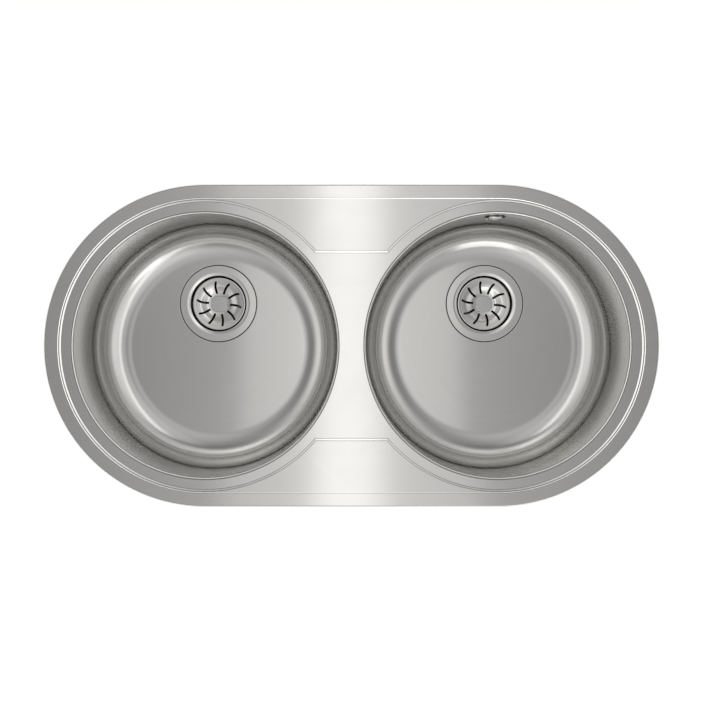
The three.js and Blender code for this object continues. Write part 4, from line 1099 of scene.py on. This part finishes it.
def clip_hanger(name, foot_top):
    back, tip = HANGER
    inner = softened([(tip, TAB_TOP, 0), (back + STEEL, TAB_TOP, 1.2), (back + STEEL, foot_top - STEEL, 1.2),
                      (back + 8, foot_top - STEEL, 0)], closed=False, steps=4)
    outer = softened([(tip, TAB_TOP - STEEL, 0), (back, TAB_TOP - STEEL, 2.4), (back, foot_top, 2.4),
                      (back + 8, foot_top, 0)], closed=False, steps=4)
    hanger = plate(name, [*inner, *reversed(outer)], -7, 7, place=in_section)
    cut(hanger, rod("hole", SCREW_HOLE, TAB_TOP - 4, TAB_TOP + 2, foot=(SCREW_X, 0, 0), turns=32))
    bevelled(hanger, 0.25, angle=50)
    return hanger


def clip_claw(name):
    side = [Vector(p) for p in [(186, CLAW_FLOOR), (215, CLAW_FLOOR), (218, CLAW_FLOOR + 3), (218, -40),
                                (214.25, -41.8), (214.25, -40), (210.5, -41.8), (205, -30), (186, -30)]]
    claw = block(name, (186, -9.2, CLAW_FLOOR), (215, 9.2, CLAW_FLOOR + STEEL))
    for near in (-10, 8.5):
        cut(claw, plate("side", side, near, near + STEEL, place=in_section), "UNION")
    cut(claw, rod("hole", SCREW_HOLE, CLAW_FLOOR - 2, CLAW_FLOOR + 4, foot=(SCREW_X, 0, 0), turns=32))
    bevelled(claw, 0.3, angle=50)
    return claw


print("clip from", round(CLAW_FLOOR, 1), "to", round(FOOT_TOP, 1), "mm")

# %% Clip screw with its thread
def clip_screw(name):
    head = CLAW_FLOOR - 0.3
    tip = TAB_TOP + 1.5
    threads = []
    for k in range(int((tip - 1.2 - head) / SCREW_PITCH)):
        z = head + 0.2 + SCREW_PITCH * k
        threads += [(2.12, z, 0), (2.5, z + 0.4, 0)]
    screw = turned(name, softened([
        (0, head - 3.2, 0), (3.4, head - 3.2, 0.8), (4.6, head - 2.2, 0.8), (4.6, head, 0.2), *threads,
        (1.6, tip, 0.2), (0, tip, 0)], steps=3), foot=(SCREW_X, 0, 0), turns=24)
    for size in ((2.6, 0.5), (0.5, 2.6)):
        cut(screw, block("recess", (SCREW_X - size[0], -size[1], head - 4),
                         (SCREW_X + size[0], size[1], head - 1.6)))
    return screw


clip_patterns = {
    "claw": clip_claw("claw_pattern"), "screw": clip_screw("screw_pattern"),
    "ledge_hanger": clip_hanger("ledge_hanger_pattern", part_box("clip_hanger_1")[1].z / MM),
    "deck_hanger": clip_hanger("deck_hanger_pattern", FOOT_TOP),
}
print({name: len(piece.data.polygons) for name, piece in clip_patterns.items()}, "faces")

# %% Set the eight clips
places = [(x, turn, "ledge_hanger") for x in (-100, 100) for turn in (-90, 90)]
for turn in (-50, 50):
    places += [(BOWL_X, turn, "deck_hanger"), (-BOWL_X, 180 + turn, "deck_hanger")]
for number, (x, turn, hanger) in enumerate(places, 1):
    for role, pattern in (("hanger", hanger), ("claw", "claw"), ("screw", "screw")):
        piece = copied(clip_patterns[pattern], f"clip_{role}_{number}_piece", turn=turn, move=(x, 0, 0))
        node = f"clip_{role}_{number}"
        centre = sum((Vector(corner) for corner in piece.bound_box), Vector()) / 8
        gap = (sum(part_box(node), Vector()) / 2 - centre).length / MM
        if gap > 1:
            print("check", node, "is", round(gap, 2), "mm from its node")
        set_in_frame(piece, node, weighted=role != "screw")
for pattern in clip_patterns.values():
    bpy.data.objects.remove(pattern)
print(len(made), "pieces in the frame")

# %% [markdown]
# ## Finishes
# The steel's look is its grain: fine scratches along the deck, and rings round the bowls where they
# were polished on a wheel. Each effect is a node group that gives out a mask, and every finish feeds
# the masks into its own colour, roughness and bump.

# %% Node helpers
def feed(tree, sockets, sources):
    """Sets sockets to values, or links them to other sockets."""
    for label, source in sources.items():
        if isinstance(source, bpy.types.NodeSocket):
            tree.links.new(source, sockets[label])
        else:
            sockets[label].default_value = source


def put(tree, kind, sources=None, **settings):
    """Adds a shader node, with its settings and what feeds its inputs."""
    made_node = tree.nodes.new("ShaderNode" + kind)
    for key, value in settings.items():
        setattr(made_node, key, value)
    feed(tree, made_node.inputs, sources or {})
    return made_node


def calc(tree, operation, first, second=0.0, third=0.0, clamp=False):
    """A Math node's result."""
    return put(tree, "Math", {0: first, 1: second, 2: third}, operation=operation, use_clamp=clamp).outputs[0]


def part_of(tree, vector, axis):
    """One part of a vector, X, Y or Z."""
    return put(tree, "SeparateXYZ", {0: vector}).outputs[axis]


def share(tree, value, none, full):
    """How far a value has gone from none to full, held between 0 and 1."""
    return put(tree, "MapRange", {"Value": value, "From Min": none, "From Max": full}).outputs[0]


def noise(tree, place, scale, detail, roughness=0.5, distortion=0.0):
    """Noise between 0 and 1."""
    return put(tree, "TexNoise", {"Vector": place, "Scale": scale, "Detail": detail, "Roughness": roughness,
                                  "Distortion": distortion}).outputs["Fac"]


def effect(name, inputs, outputs):
    """An empty node group with named inputs and outputs."""
    tree = bpy.data.node_groups.new(name, "ShaderNodeTree")
    kinds = {float: "NodeSocketFloat", tuple: "NodeSocketVector"}
    for label, value in inputs.items():
        socket = tree.interface.new_socket(label, in_out="INPUT", socket_type=kinds[type(value)])
        socket.default_value = value
    for label, kind in outputs.items():
        tree.interface.new_socket(label, in_out="OUTPUT", socket_type=kinds[kind])
    return tree, tree.nodes.new("NodeGroupInput").outputs, tree.nodes.new("NodeGroupOutput").inputs


print("node helpers are ready")

# %% [markdown]
# ### Coordinates round an axis
# Both bowls share one finish, so the group folds the left bowl onto the right one with an absolute
# value. It gives the direction from the axis as a cosine and a sine, which has no seam, and one number
# that changes as fast along the wall as it does along the floor.

# %% Round the bowl's axis
round_axis, given, result = effect(
    "round_axis", {"Place": (0.0, 0.0, 0.0), "Axis Distance": 0.2, "Axis Depth": 0.0, "Turn": 1.0},
    {"Ring Place": tuple})
apart = put(round_axis, "SeparateXYZ", {0: given["Place"]})
from_middle = calc(round_axis, "ABSOLUTE", apart.outputs["X"])
side_x = calc(round_axis, "SUBTRACT", from_middle, given["Axis Distance"])
side_y = calc(round_axis, "SUBTRACT", apart.outputs["Y"], given["Axis Depth"])
flat = put(round_axis, "CombineXYZ", {"X": side_x, "Y": side_y})
radius = put(round_axis, "VectorMath", {0: flat.outputs[0]}, operation="LENGTH").outputs["Value"]
safe_radius = calc(round_axis, "MAXIMUM", radius, 0.001)
run = calc(round_axis, "SUBTRACT", radius, apart.outputs["Z"])
ring_place = put(round_axis, "CombineXYZ", {
    "X": calc(round_axis, "MULTIPLY", calc(round_axis, "DIVIDE", side_x, safe_radius), given["Turn"]),
    "Y": calc(round_axis, "MULTIPLY", calc(round_axis, "DIVIDE", side_y, safe_radius), given["Turn"]),
    "Z": run})
feed(round_axis, result, {"Ring Place": ring_place.outputs[0]})
print("group", round_axis.name)

# %% Grain: streaks that are long one way and fine the other
grain, given, result = effect(
    "grain", {"Place": (0.0, 0.0, 0.0), "Stretch": (1.0, 1.0, 1.0)}, {"Streaks": float, "Bands": float})
stretched = put(grain, "VectorMath", {0: given["Place"], 1: given["Stretch"]}, operation="MULTIPLY")
feed(grain, result, {"Streaks": noise(grain, stretched.outputs[0], 1.0, 5.0, 0.72),
                     "Bands": noise(grain, stretched.outputs[0], 0.11, 2.0)})
print("group", grain.name)

# %% Smudges: wiping marks and dried water
smudges, given, result = effect(
    "smudges", {"Place": (0.0, 0.0, 0.0), "Size": 12.0}, {"Marks": float, "Drops": float})
marks_and_painted_light = share(smudges, noise(smudges, given["Place"], given["Size"], 3.0, 0.55, 0.8), 0.42, 0.68)
drop_size = calc(smudges, "MULTIPLY", given["Size"], 9.0)
cells = put(smudges, "TexVoronoi", {"Vector": given["Place"], "Scale": drop_size, "Randomness": 1.0})
edge = share(smudges, cells.outputs["Distance"], 0.16, 0.05)
chosen = share(smudges, part_of(smudges, cells.outputs["Color"], "X"), 0.86, 0.9)
feed(smudges, result, {"Marks": marks_and_painted_light, "Drops": calc(smudges, "MULTIPLY", edge, chosen)})
print("group", smudges.name)

# %% Wear on outward edges, and painted shade in hollows
edge_wear_and_hollow_shade, given, result = effect(
    "edge_wear_and_hollow_shade", {"Place": (0.0, 0.0, 0.0), "Sharpness": 6.0, "Scatter": 300.0},
    {"Edge": float, "Hollow Shade": float})
shape = put(edge_wear_and_hollow_shade, "NewGeometry").outputs["Pointiness"]
above = calc(edge_wear_and_hollow_shade, "MULTIPLY", calc(edge_wear_and_hollow_shade, "SUBTRACT", shape, 0.5), given["Sharpness"])
broken = noise(edge_wear_and_hollow_shade, given["Place"], given["Scatter"], 3.0)
scattered = put(edge_wear_and_hollow_shade, "MapRange", {"Value": broken, "From Min": 0.3, "From Max": 0.6,
                                        "To Min": 0.35, "To Max": 1.0})
worn = calc(edge_wear_and_hollow_shade, "MULTIPLY", calc(edge_wear_and_hollow_shade, "MAXIMUM", above, 0.0, clamp=True), scattered.outputs[0],
            clamp=True)
# Painted shade: where the surface curves inwards, a mask for darker colour.
hollow_shade = calc(edge_wear_and_hollow_shade, "MAXIMUM", calc(edge_wear_and_hollow_shade, "MULTIPLY", above, -1.0), 0.0, clamp=True)
feed(edge_wear_and_hollow_shade, result, {"Edge": worn, "Hollow Shade": hollow_shade})
print("group", edge_wear_and_hollow_shade.name)

# %% Pores and grit for moulded, rubber and felt surfaces
grit, given, result = effect(
    "grit", {"Place": (0.0, 0.0, 0.0), "Size": 900.0}, {"Grit": float, "Pores": float, "Cloud": float})
holes = put(grit, "TexVoronoi", {"Vector": given["Place"], "Scale": given["Size"]})
feed(grit, result, {"Grit": noise(grit, given["Place"], given["Size"], 4.0, 0.6),
                    "Pores": share(grit, holes.outputs["Distance"], 0.1, 0.45),
                    "Cloud": noise(grit, given["Place"], 18.0, 3.0)})
print("group", grit.name)

# %% [markdown]
# On the deck, the flank of each pressed step gets a painted highlight, and the bends above and below it get a
# fine dark line of painted shade. Only the steps and bends lie between the flat fields, so the height alone
# finds them.

# %% Painted highlight and shade on the pressed steps
painted_step_light, given, result = effect(
    "painted_step_light", {"Place": (0.0, 0.0, 0.0)}, {"Painted Shade": float, "Painted Highlight": float})
LOWEST, SPAN = 2.0, 3.5  # millimetres that the ramp covers
level = share(painted_step_light, part_of(painted_step_light, given["Place"], "Z"), LOWEST * MM, (LOWEST + SPAN) * MM)
ramp = put(painted_step_light, "ValToRGB", {"Fac": level})
elements = ramp.color_ramp.elements
levels = [  # (height in mm, painted shade, painted highlight)
    (2.2, 0, 0), (2.35, 0.7, 0), (2.56, 0.7, 0), (2.59, 0, 0), (2.61, 0, 0), (2.64, 0.9, 0), (2.85, 0.7, 0),
    (2.95, 0, 1), (3.85, 0, 1), (3.95, 0.7, 0), (4.16, 0.9, 0), (4.19, 0, 0), (4.21, 0, 0), (4.3, 0, 1),
    (4.65, 0, 1), (4.75, 0.7, 0), (4.96, 0.7, 0), (4.99, 0, 0)]
for number, (z, painted_shade, painted_highlight) in enumerate(levels):
    position = (z - LOWEST) / SPAN
    element = elements[number] if number < 2 else elements.new(position)
    element.position = position
    element.color = (painted_shade, painted_highlight, 0, 1)
# The first mask is painted shade in the bends, the second a painted highlight on the flanks.
parts = put(painted_step_light, "SeparateColor", {0: ramp.outputs["Color"]})
feed(painted_step_light, result, {"Painted Shade": parts.outputs[0], "Painted Highlight": parts.outputs[1]})
print("group", painted_step_light.name, "with", len(elements), "levels")

# %% Place a group in a material
def use(tree, group, **values):
    """A group's outputs in another tree; values are named after its inputs, with _ for a space."""
    sources = {label.replace("_", " "): value for label, value in values.items()}
    return put(tree, "Group", sources, node_tree=group).outputs


def new_finish(name, metal=1.0):
    """A material's node tree, with its Object coordinates."""
    material = bpy.data.materials.new(name)
    material.use_nodes = True
    tree = material.node_tree
    tree.nodes["Principled BSDF"].inputs["Metallic"].default_value = metal
    return material, tree, put(tree, "TexCoord").outputs["Object"]


def varied(tree, base, *changes):
    """A value with masks added: each change is (mask, amount), and the mask times its amount is added."""
    total = base
    for mask, amount in changes:
        total = calc(tree, "MULTIPLY_ADD", mask, amount, total)
    return total


def tinted(tree, dark, light, mask):
    """A colour between two, by a mask."""
    mix = put(tree, "Mix", {"Factor": mask, "A": (*dark, 1), "B": (*light, 1)}, data_type="RGBA")
    return mix.outputs["Result"]


def surface(tree, colour, rough, height, lift):
    """Links a finish's colour and roughness, and its relief of so many metres."""
    bump = put(tree, "Bump", {"Strength": 1.0, "Distance": lift, "Height": height})
    feed(tree, tree.nodes["Principled BSDF"].inputs,
         {"Base Color": colour, "Roughness": rough, "Normal": bump.outputs[0]})


print("material helpers are ready")

# %% [markdown]
# ### Stainless steel
# The deck is brushed along its length. The grain changes the roughness by a few hundredths and lifts
# the surface by a few micrometres, which is enough to draw the highlights out into soft bands.

# %% Brushed deck
SATIN = ((0.585, 0.58, 0.567), (0.625, 0.62, 0.607))  # darkest and lightest colour
BRIGHT = ((0.64, 0.635, 0.62), (0.69, 0.685, 0.67))


def steel(name, colours, rough, streak_rough, lift, stretch, turn=0, depth=0):
    """A steel finish with its grain along the sink, or with turn in rings round an axis at depth."""
    material, tree, place = new_finish(name)
    along = place
    if turn:
        along = use(tree, round_axis, Place=place, Axis_Distance=BOWL_X * MM, Axis_Depth=depth * MM,
                    Turn=turn)["Ring Place"]
    lines = use(tree, grain, Place=along, Stretch=stretch)
    marks_and_painted_light = use(tree, smudges, Place=place, Size=14.0)
    edges = use(tree, edge_wear_and_hollow_shade, Place=place, Sharpness=7.0)
    tone = varied(tree, -0.25, (lines["Streaks"], 0.9), (lines["Bands"], 0.6))
    rough_value = varied(tree, rough, (lines["Streaks"], streak_rough), (marks_and_painted_light["Marks"], 0.02),
                         (marks_and_painted_light["Drops"], 0.03), (edges["Edge"], -0.05))
    colour = tinted(tree, *colours, calc(tree, "ADD", tone, 0.0, clamp=True))
    surface(tree, colour, rough_value, lines["Streaks"], lift)
    print("finish", name)
    return material, tree, place


def paint_light_over(tree, mask, colour):
    """Paints another colour over a finish where a mask says; it lays on painted shade and painted highlights.
    """
    socket = tree.nodes["Principled BSDF"].inputs["Base Color"]
    mix = put(tree, "Mix", {"Factor": mask, "A": socket.links[0].from_socket, "B": (*colour, 1)},
              data_type="RGBA")
    tree.links.new(mix.outputs["Result"], socket)


finishes["deck"], tree, place = steel("brushed_deck_steel", SATIN, 0.2, 0.07, 4e-6, (7.0, 900.0, 900.0))
# Painted shade in the bends of the deck's steps, and a painted highlight on their flanks.
marks_and_painted_light = use(tree, painted_step_light, Place=place)
paint_light_over(tree, marks_and_painted_light["Painted Shade"], (0.13, 0.125, 0.115))
paint_light_over(tree, marks_and_painted_light["Painted Highlight"], (0.95, 0.945, 0.93))

# %% [markdown]
# The bowls and the strainers have rings of their own, and the strainers a brighter polish. Below the basket
# the cup's inside is painted dark, a painted shade that deepens downwards, so the slots look black.

# %% Bowls, strainers and overflow cap
finishes["bowl"] = steel("ring_polished_bowl_steel", SATIN, 0.16, 0.02, 5e-7, (0.9, 0.9, 500.0), turn=1.6)[0]
finishes["strainer"], tree, place = steel("bright_strainer_steel", BRIGHT, 0.15, 0.05, 2e-6,
                                          (2.5, 2.5, 1500.0), turn=1.2, depth=DRAIN_Y)
# Painted shade: the strainer's colour turns dark inside the cup, below the basket.
cup_shade_mask = share(tree, part_of(tree, place, "Z"), (FLOOR - 16.5) * MM, (FLOOR - 19) * MM)
paint_light_over(tree, cup_shade_mask, (0.09, 0.085, 0.075))
finishes["cap"] = steel("bright_cap_steel", BRIGHT, 0.12, 0.05, 2e-6, (900.0, 60.0, 60.0))[0]

# %% Plated grip
finishes["grip"], tree, place = new_finish("plated_grip")
wear_and_hollow_shade = use(tree, edge_wear_and_hollow_shade, Place=place, Sharpness=5.0, Scatter=500.0)
marks_and_painted_light = use(tree, smudges, Place=place, Size=40.0)
wavy = use(tree, grit, Place=place, Size=240.0)
colour = tinted(tree, (0.56, 0.56, 0.555), (0.66, 0.66, 0.65), wear_and_hollow_shade["Edge"])
rough_value = varied(tree, 0.22, (marks_and_painted_light["Marks"], 0.07), (marks_and_painted_light["Drops"], 0.05), (wavy["Grit"], 0.04))
surface(tree, colour, rough_value, wavy["Grit"], 1e-5)
print("finish", finishes["grip"].name)

# %% [markdown]
# ### Zinc, plastic, rubber, foam and felt
# Under the sink nothing is polished. Zinc plating shows pale crystals, moulded plastic a fine
# pebbled skin, rubber a dull bloom, foam open pores and the felt a coarse grit.

# %% Zinc plating
finishes["zinc_steel"], tree, place = new_finish("zinc_plating")
crystals = put(tree, "TexVoronoi", {"Vector": place, "Scale": 420.0})
crystal_tone = part_of(tree, crystals.outputs["Color"], "X")
wear_and_hollow_shade = use(tree, edge_wear_and_hollow_shade, Place=place, Sharpness=5.0, Scatter=400.0)
specks = use(tree, grit, Place=place, Size=1500.0)
colour = tinted(tree, (0.47, 0.485, 0.5), (0.62, 0.625, 0.63),
                varied(tree, 0.0, (crystal_tone, 0.55), (specks["Cloud"], 0.4), (wear_and_hollow_shade["Edge"], 0.4)))
rough_value = varied(tree, 0.3, (crystal_tone, 0.1), (specks["Grit"], 0.1), (wear_and_hollow_shade["Edge"], -0.1))
surface(tree, colour, rough_value, specks["Grit"], 2e-5)
print("finish", finishes["zinc_steel"].name)

# %% Moulded and soft materials
def dull(name, slot_name, dark, light, rough, size, relief, height, specular=0.5):
    """A material without metal: grit in its colour, roughness and relief, paler worn edges, and painted shade
    in its hollows.
    """
    finishes[slot_name], tree, place = new_finish(name, metal=0.0)
    tree.nodes["Principled BSDF"].inputs["Specular IOR Level"].default_value = specular
    specks = use(tree, grit, Place=place, Size=size)
    wear_and_hollow_shade = use(tree, edge_wear_and_hollow_shade, Place=place, Sharpness=6.0, Scatter=500.0)
    # Painted shade: the colour is darker in hollows.
    mask = varied(tree, -0.1, (specks["Cloud"], 0.7), (specks["Grit"], 0.5), (wear_and_hollow_shade["Edge"], 0.5),
                  (wear_and_hollow_shade["Hollow Shade"], -0.5))
    colour = tinted(tree, dark, light, calc(tree, "ADD", mask, 0.0, clamp=True))
    rough_value = varied(tree, rough, (specks["Grit"], 0.12), (specks["Cloud"], 0.06))
    surface(tree, colour, rough_value, specks[relief], height)
    print("finish", name)


dull("white_moulded_plastic", "white_plastic", (0.66, 0.66, 0.635), (0.75, 0.75, 0.73), 0.3, 1400.0,
     "Grit", 0.00004)
dull("black_rubber_skin", "black_rubber", (0.012, 0.012, 0.013), (0.03, 0.03, 0.031), 0.5, 1800.0,
     "Grit", 0.00003, specular=0.35)
dull("grey_cell_foam", "grey_foam", (0.05, 0.05, 0.054), (0.09, 0.09, 0.096), 0.78, 1100.0,
     "Pores", 0.0003, specular=0.2)
dull("bitumen_felt", "black_bitumen", (0.018, 0.018, 0.02), (0.045, 0.045, 0.047), 0.7, 700.0,
     "Grit", 0.0003, specular=0.25)

# %% Give every piece its finish
def finish_of(piece, node):
    if node == "deck":
        return finishes["deck"]
    if node.endswith("_bowl"):
        return finishes["bowl"]
    if piece.get("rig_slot") == "bright_steel":
        return finishes["cap" if node.startswith("overflow") else "strainer"]
    if piece.get("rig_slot") == "chrome_plastic":
        return finishes["grip"]
    return finishes[piece["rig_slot"]]


for piece, node in made:
    piece.data.materials.clear()
    piece.data.materials.append(finish_of(piece, node))
used = {piece.data.materials[0].name for piece, node in made}
print(len(made), "pieces finished with", len(used), "materials")

# %% [markdown]
# ## Light
# Steel shows what surrounds it. The studio is a ring of soft light: it is brightest at the horizon and
# dimmer overhead, with one more pale zone at the sides, less than half way up. A long tube in a soft box
# hangs over the bridge and draws the pale band across the deck, and a small box stands front right.

# %% Studio surroundings
world = bpy.data.worlds.new("studio")
bpy.context.scene.world = world
world.use_nodes = True
tree = world.node_tree
tree.nodes.clear()
way = put(tree, "SeparateXYZ", {0: put(tree, "TexCoord").outputs["Generated"]})
tilt = calc(tree, "DIVIDE", calc(tree, "ARCCOSINE", way.outputs["Z"]), math.pi)
flat_length = calc(tree, "SQRT", calc(tree, "SUBTRACT", 1.0, calc(tree, "POWER", way.outputs["Z"], 2.0)))
across = calc(tree, "DIVIDE", way.outputs["Y"], calc(tree, "MAXIMUM", flat_length, 0.001))


BRIGHTEST = 2.0  # a ramp holds 0 to 1, so brightness is halved in it


def glow(stops):
    """Brightness by the angle from straight up: stops are (degrees, brightness)."""
    ramp = put(tree, "ValToRGB", {"Fac": tilt})
    elements = ramp.color_ramp.elements
    for element, (degrees, value) in zip((elements[0], elements[1]), (stops[0], stops[-1])):
        element.position, element.color = degrees / 180, (*[value / BRIGHTEST] * 3, 1)
    for degrees, value in stops[1:-1]:
        elements.new(degrees / 180).color = (*[value / BRIGHTEST] * 3, 1)
    return calc(tree, "MULTIPLY", put(tree, "RGBToBW", {0: ramp.outputs[0]}).outputs[0], BRIGHTEST)


side_glow = glow([(0, 0.67), (12, 0.33), (24, 0.3), (32, 0.27), (39, 0.47), (46, 0.89), (52, 1.1),
                  (58, 1.08), (64, 0.89), (70, 0.73), (76, 0.89), (83, 1.2), (92, 1.4)])
front_glow = glow([(0, 0.67), (12, 0.64), (24, 0.68), (32, 0.74), (39, 0.68), (46, 0.48), (52, 0.3),
                   (58, 0.51), (64, 1.08), (70, 1.45), (92, 1.45)])
rear_glow = glow([(0, 0.67), (12, 0.69), (24, 0.56), (32, 0.46), (39, 0.39), (46, 0.28), (52, 0.21),
                  (58, 0.39), (64, 0.81), (70, 1.25), (76, 1.45), (92, 1.45)])
to_front = calc(tree, "POWER", calc(tree, "MAXIMUM", calc(tree, "MULTIPLY", across, -1.0), 0.0), 1.6)
to_rear = calc(tree, "POWER", calc(tree, "MAXIMUM", across, 0.0), 1.6)
around = side_glow
for weight, end_glow in ((to_front, front_glow), (to_rear, rear_glow)):
    mixed = put(tree, "Mix", {"Factor": weight, "A": around, "B": end_glow}, data_type="FLOAT")
    around = mixed.outputs["Result"]
lit = put(tree, "Background", {"Color": (1.0, 0.997, 0.99, 1.0), "Strength": around})
plain = put(tree, "Background", {"Color": (1.0, 1.0, 1.0, 1.0), "Strength": 1.0})
by_camera = put(tree, "LightPath").outputs["Is Camera Ray"]
seen = put(tree, "MixShader", {0: by_camera, 1: lit.outputs[0], 2: plain.outputs[0]})
put(tree, "OutputWorld", {"Surface": seen.outputs[0]})
print("world", world.name)

# %% Soft boxes
def soft_box(name, centre, aim, size, brightness):
    """An area light of a given brightness, in metres, that the camera doesn't see."""
    data = bpy.data.lights.new(name, "AREA")
    data.shape = "RECTANGLE"
    data.size, data.size_y = size
    data.energy = brightness * math.pi * size[0] * size[1]
    lamp = bpy.data.objects.new(name, data)
    bpy.context.scene.collection.objects.link(lamp)
    lamp.location = centre
    lamp.rotation_euler = (Vector(aim) - Vector(centre)).to_track_quat("-Z", "Y").to_euler()
    lamp.visible_camera = False
    print(name, round(data.energy, 2), "W")


soft_box("tube_over_bridge", (-0.006, -0.15, 0.34), (-0.006, -0.15, 0), (0.11, 1.2), 1.07)
soft_box("box_over_bridge", (0, -0.15, 0.34), (0, -0.15, 0), (0.42, 1.2), 0.3)
soft_box("box_front_right", (0.28, -0.6, 0.36), (0.2, 0, -0.1), (0.36, 0.3), 1.25)

# %% [markdown]
# ## The floor
# The sink stands on the outlets of its wastes, on a plain pale floor that shows no shadow. From below
# the floor is clear, so that the underside can be looked at.

# %% Floor
rest_tools()
bpy.ops.mesh.primitive_plane_add(size=8, location=(0, 0, 0))
floor = bpy.context.object
floor.name = "pale_floor"
floor.location.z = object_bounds()[0].z - 0.0005
floor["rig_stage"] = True
material = bpy.data.materials.new("pale_floor")
material.use_nodes = True
tree = material.node_tree
tree.nodes.clear()
rays = put(tree, "LightPath")
glowing = put(tree, "Emission", {"Color": (1.0, 1.0, 1.0, 1.0),
                                 "Strength": varied(tree, 0.6, (rays.outputs["Is Camera Ray"], 0.42))})
clear = put(tree, "BsdfTransparent")
facing = put(tree, "MixShader", {0: put(tree, "NewGeometry").outputs["Backfacing"], 1: glowing.outputs[0],
                                 2: clear.outputs[0]})
put(tree, "OutputMaterial", {"Surface": facing.outputs[0]})
floor.data.materials.append(material)
print("floor at", round(floor.location.z, 4), "m")

# %% Size
size = {"cad": cad_box, "visual": [list(corner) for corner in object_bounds()]}
print("visual box, metres:", [[round(value, 4) for value in corner] for corner in size["visual"]])
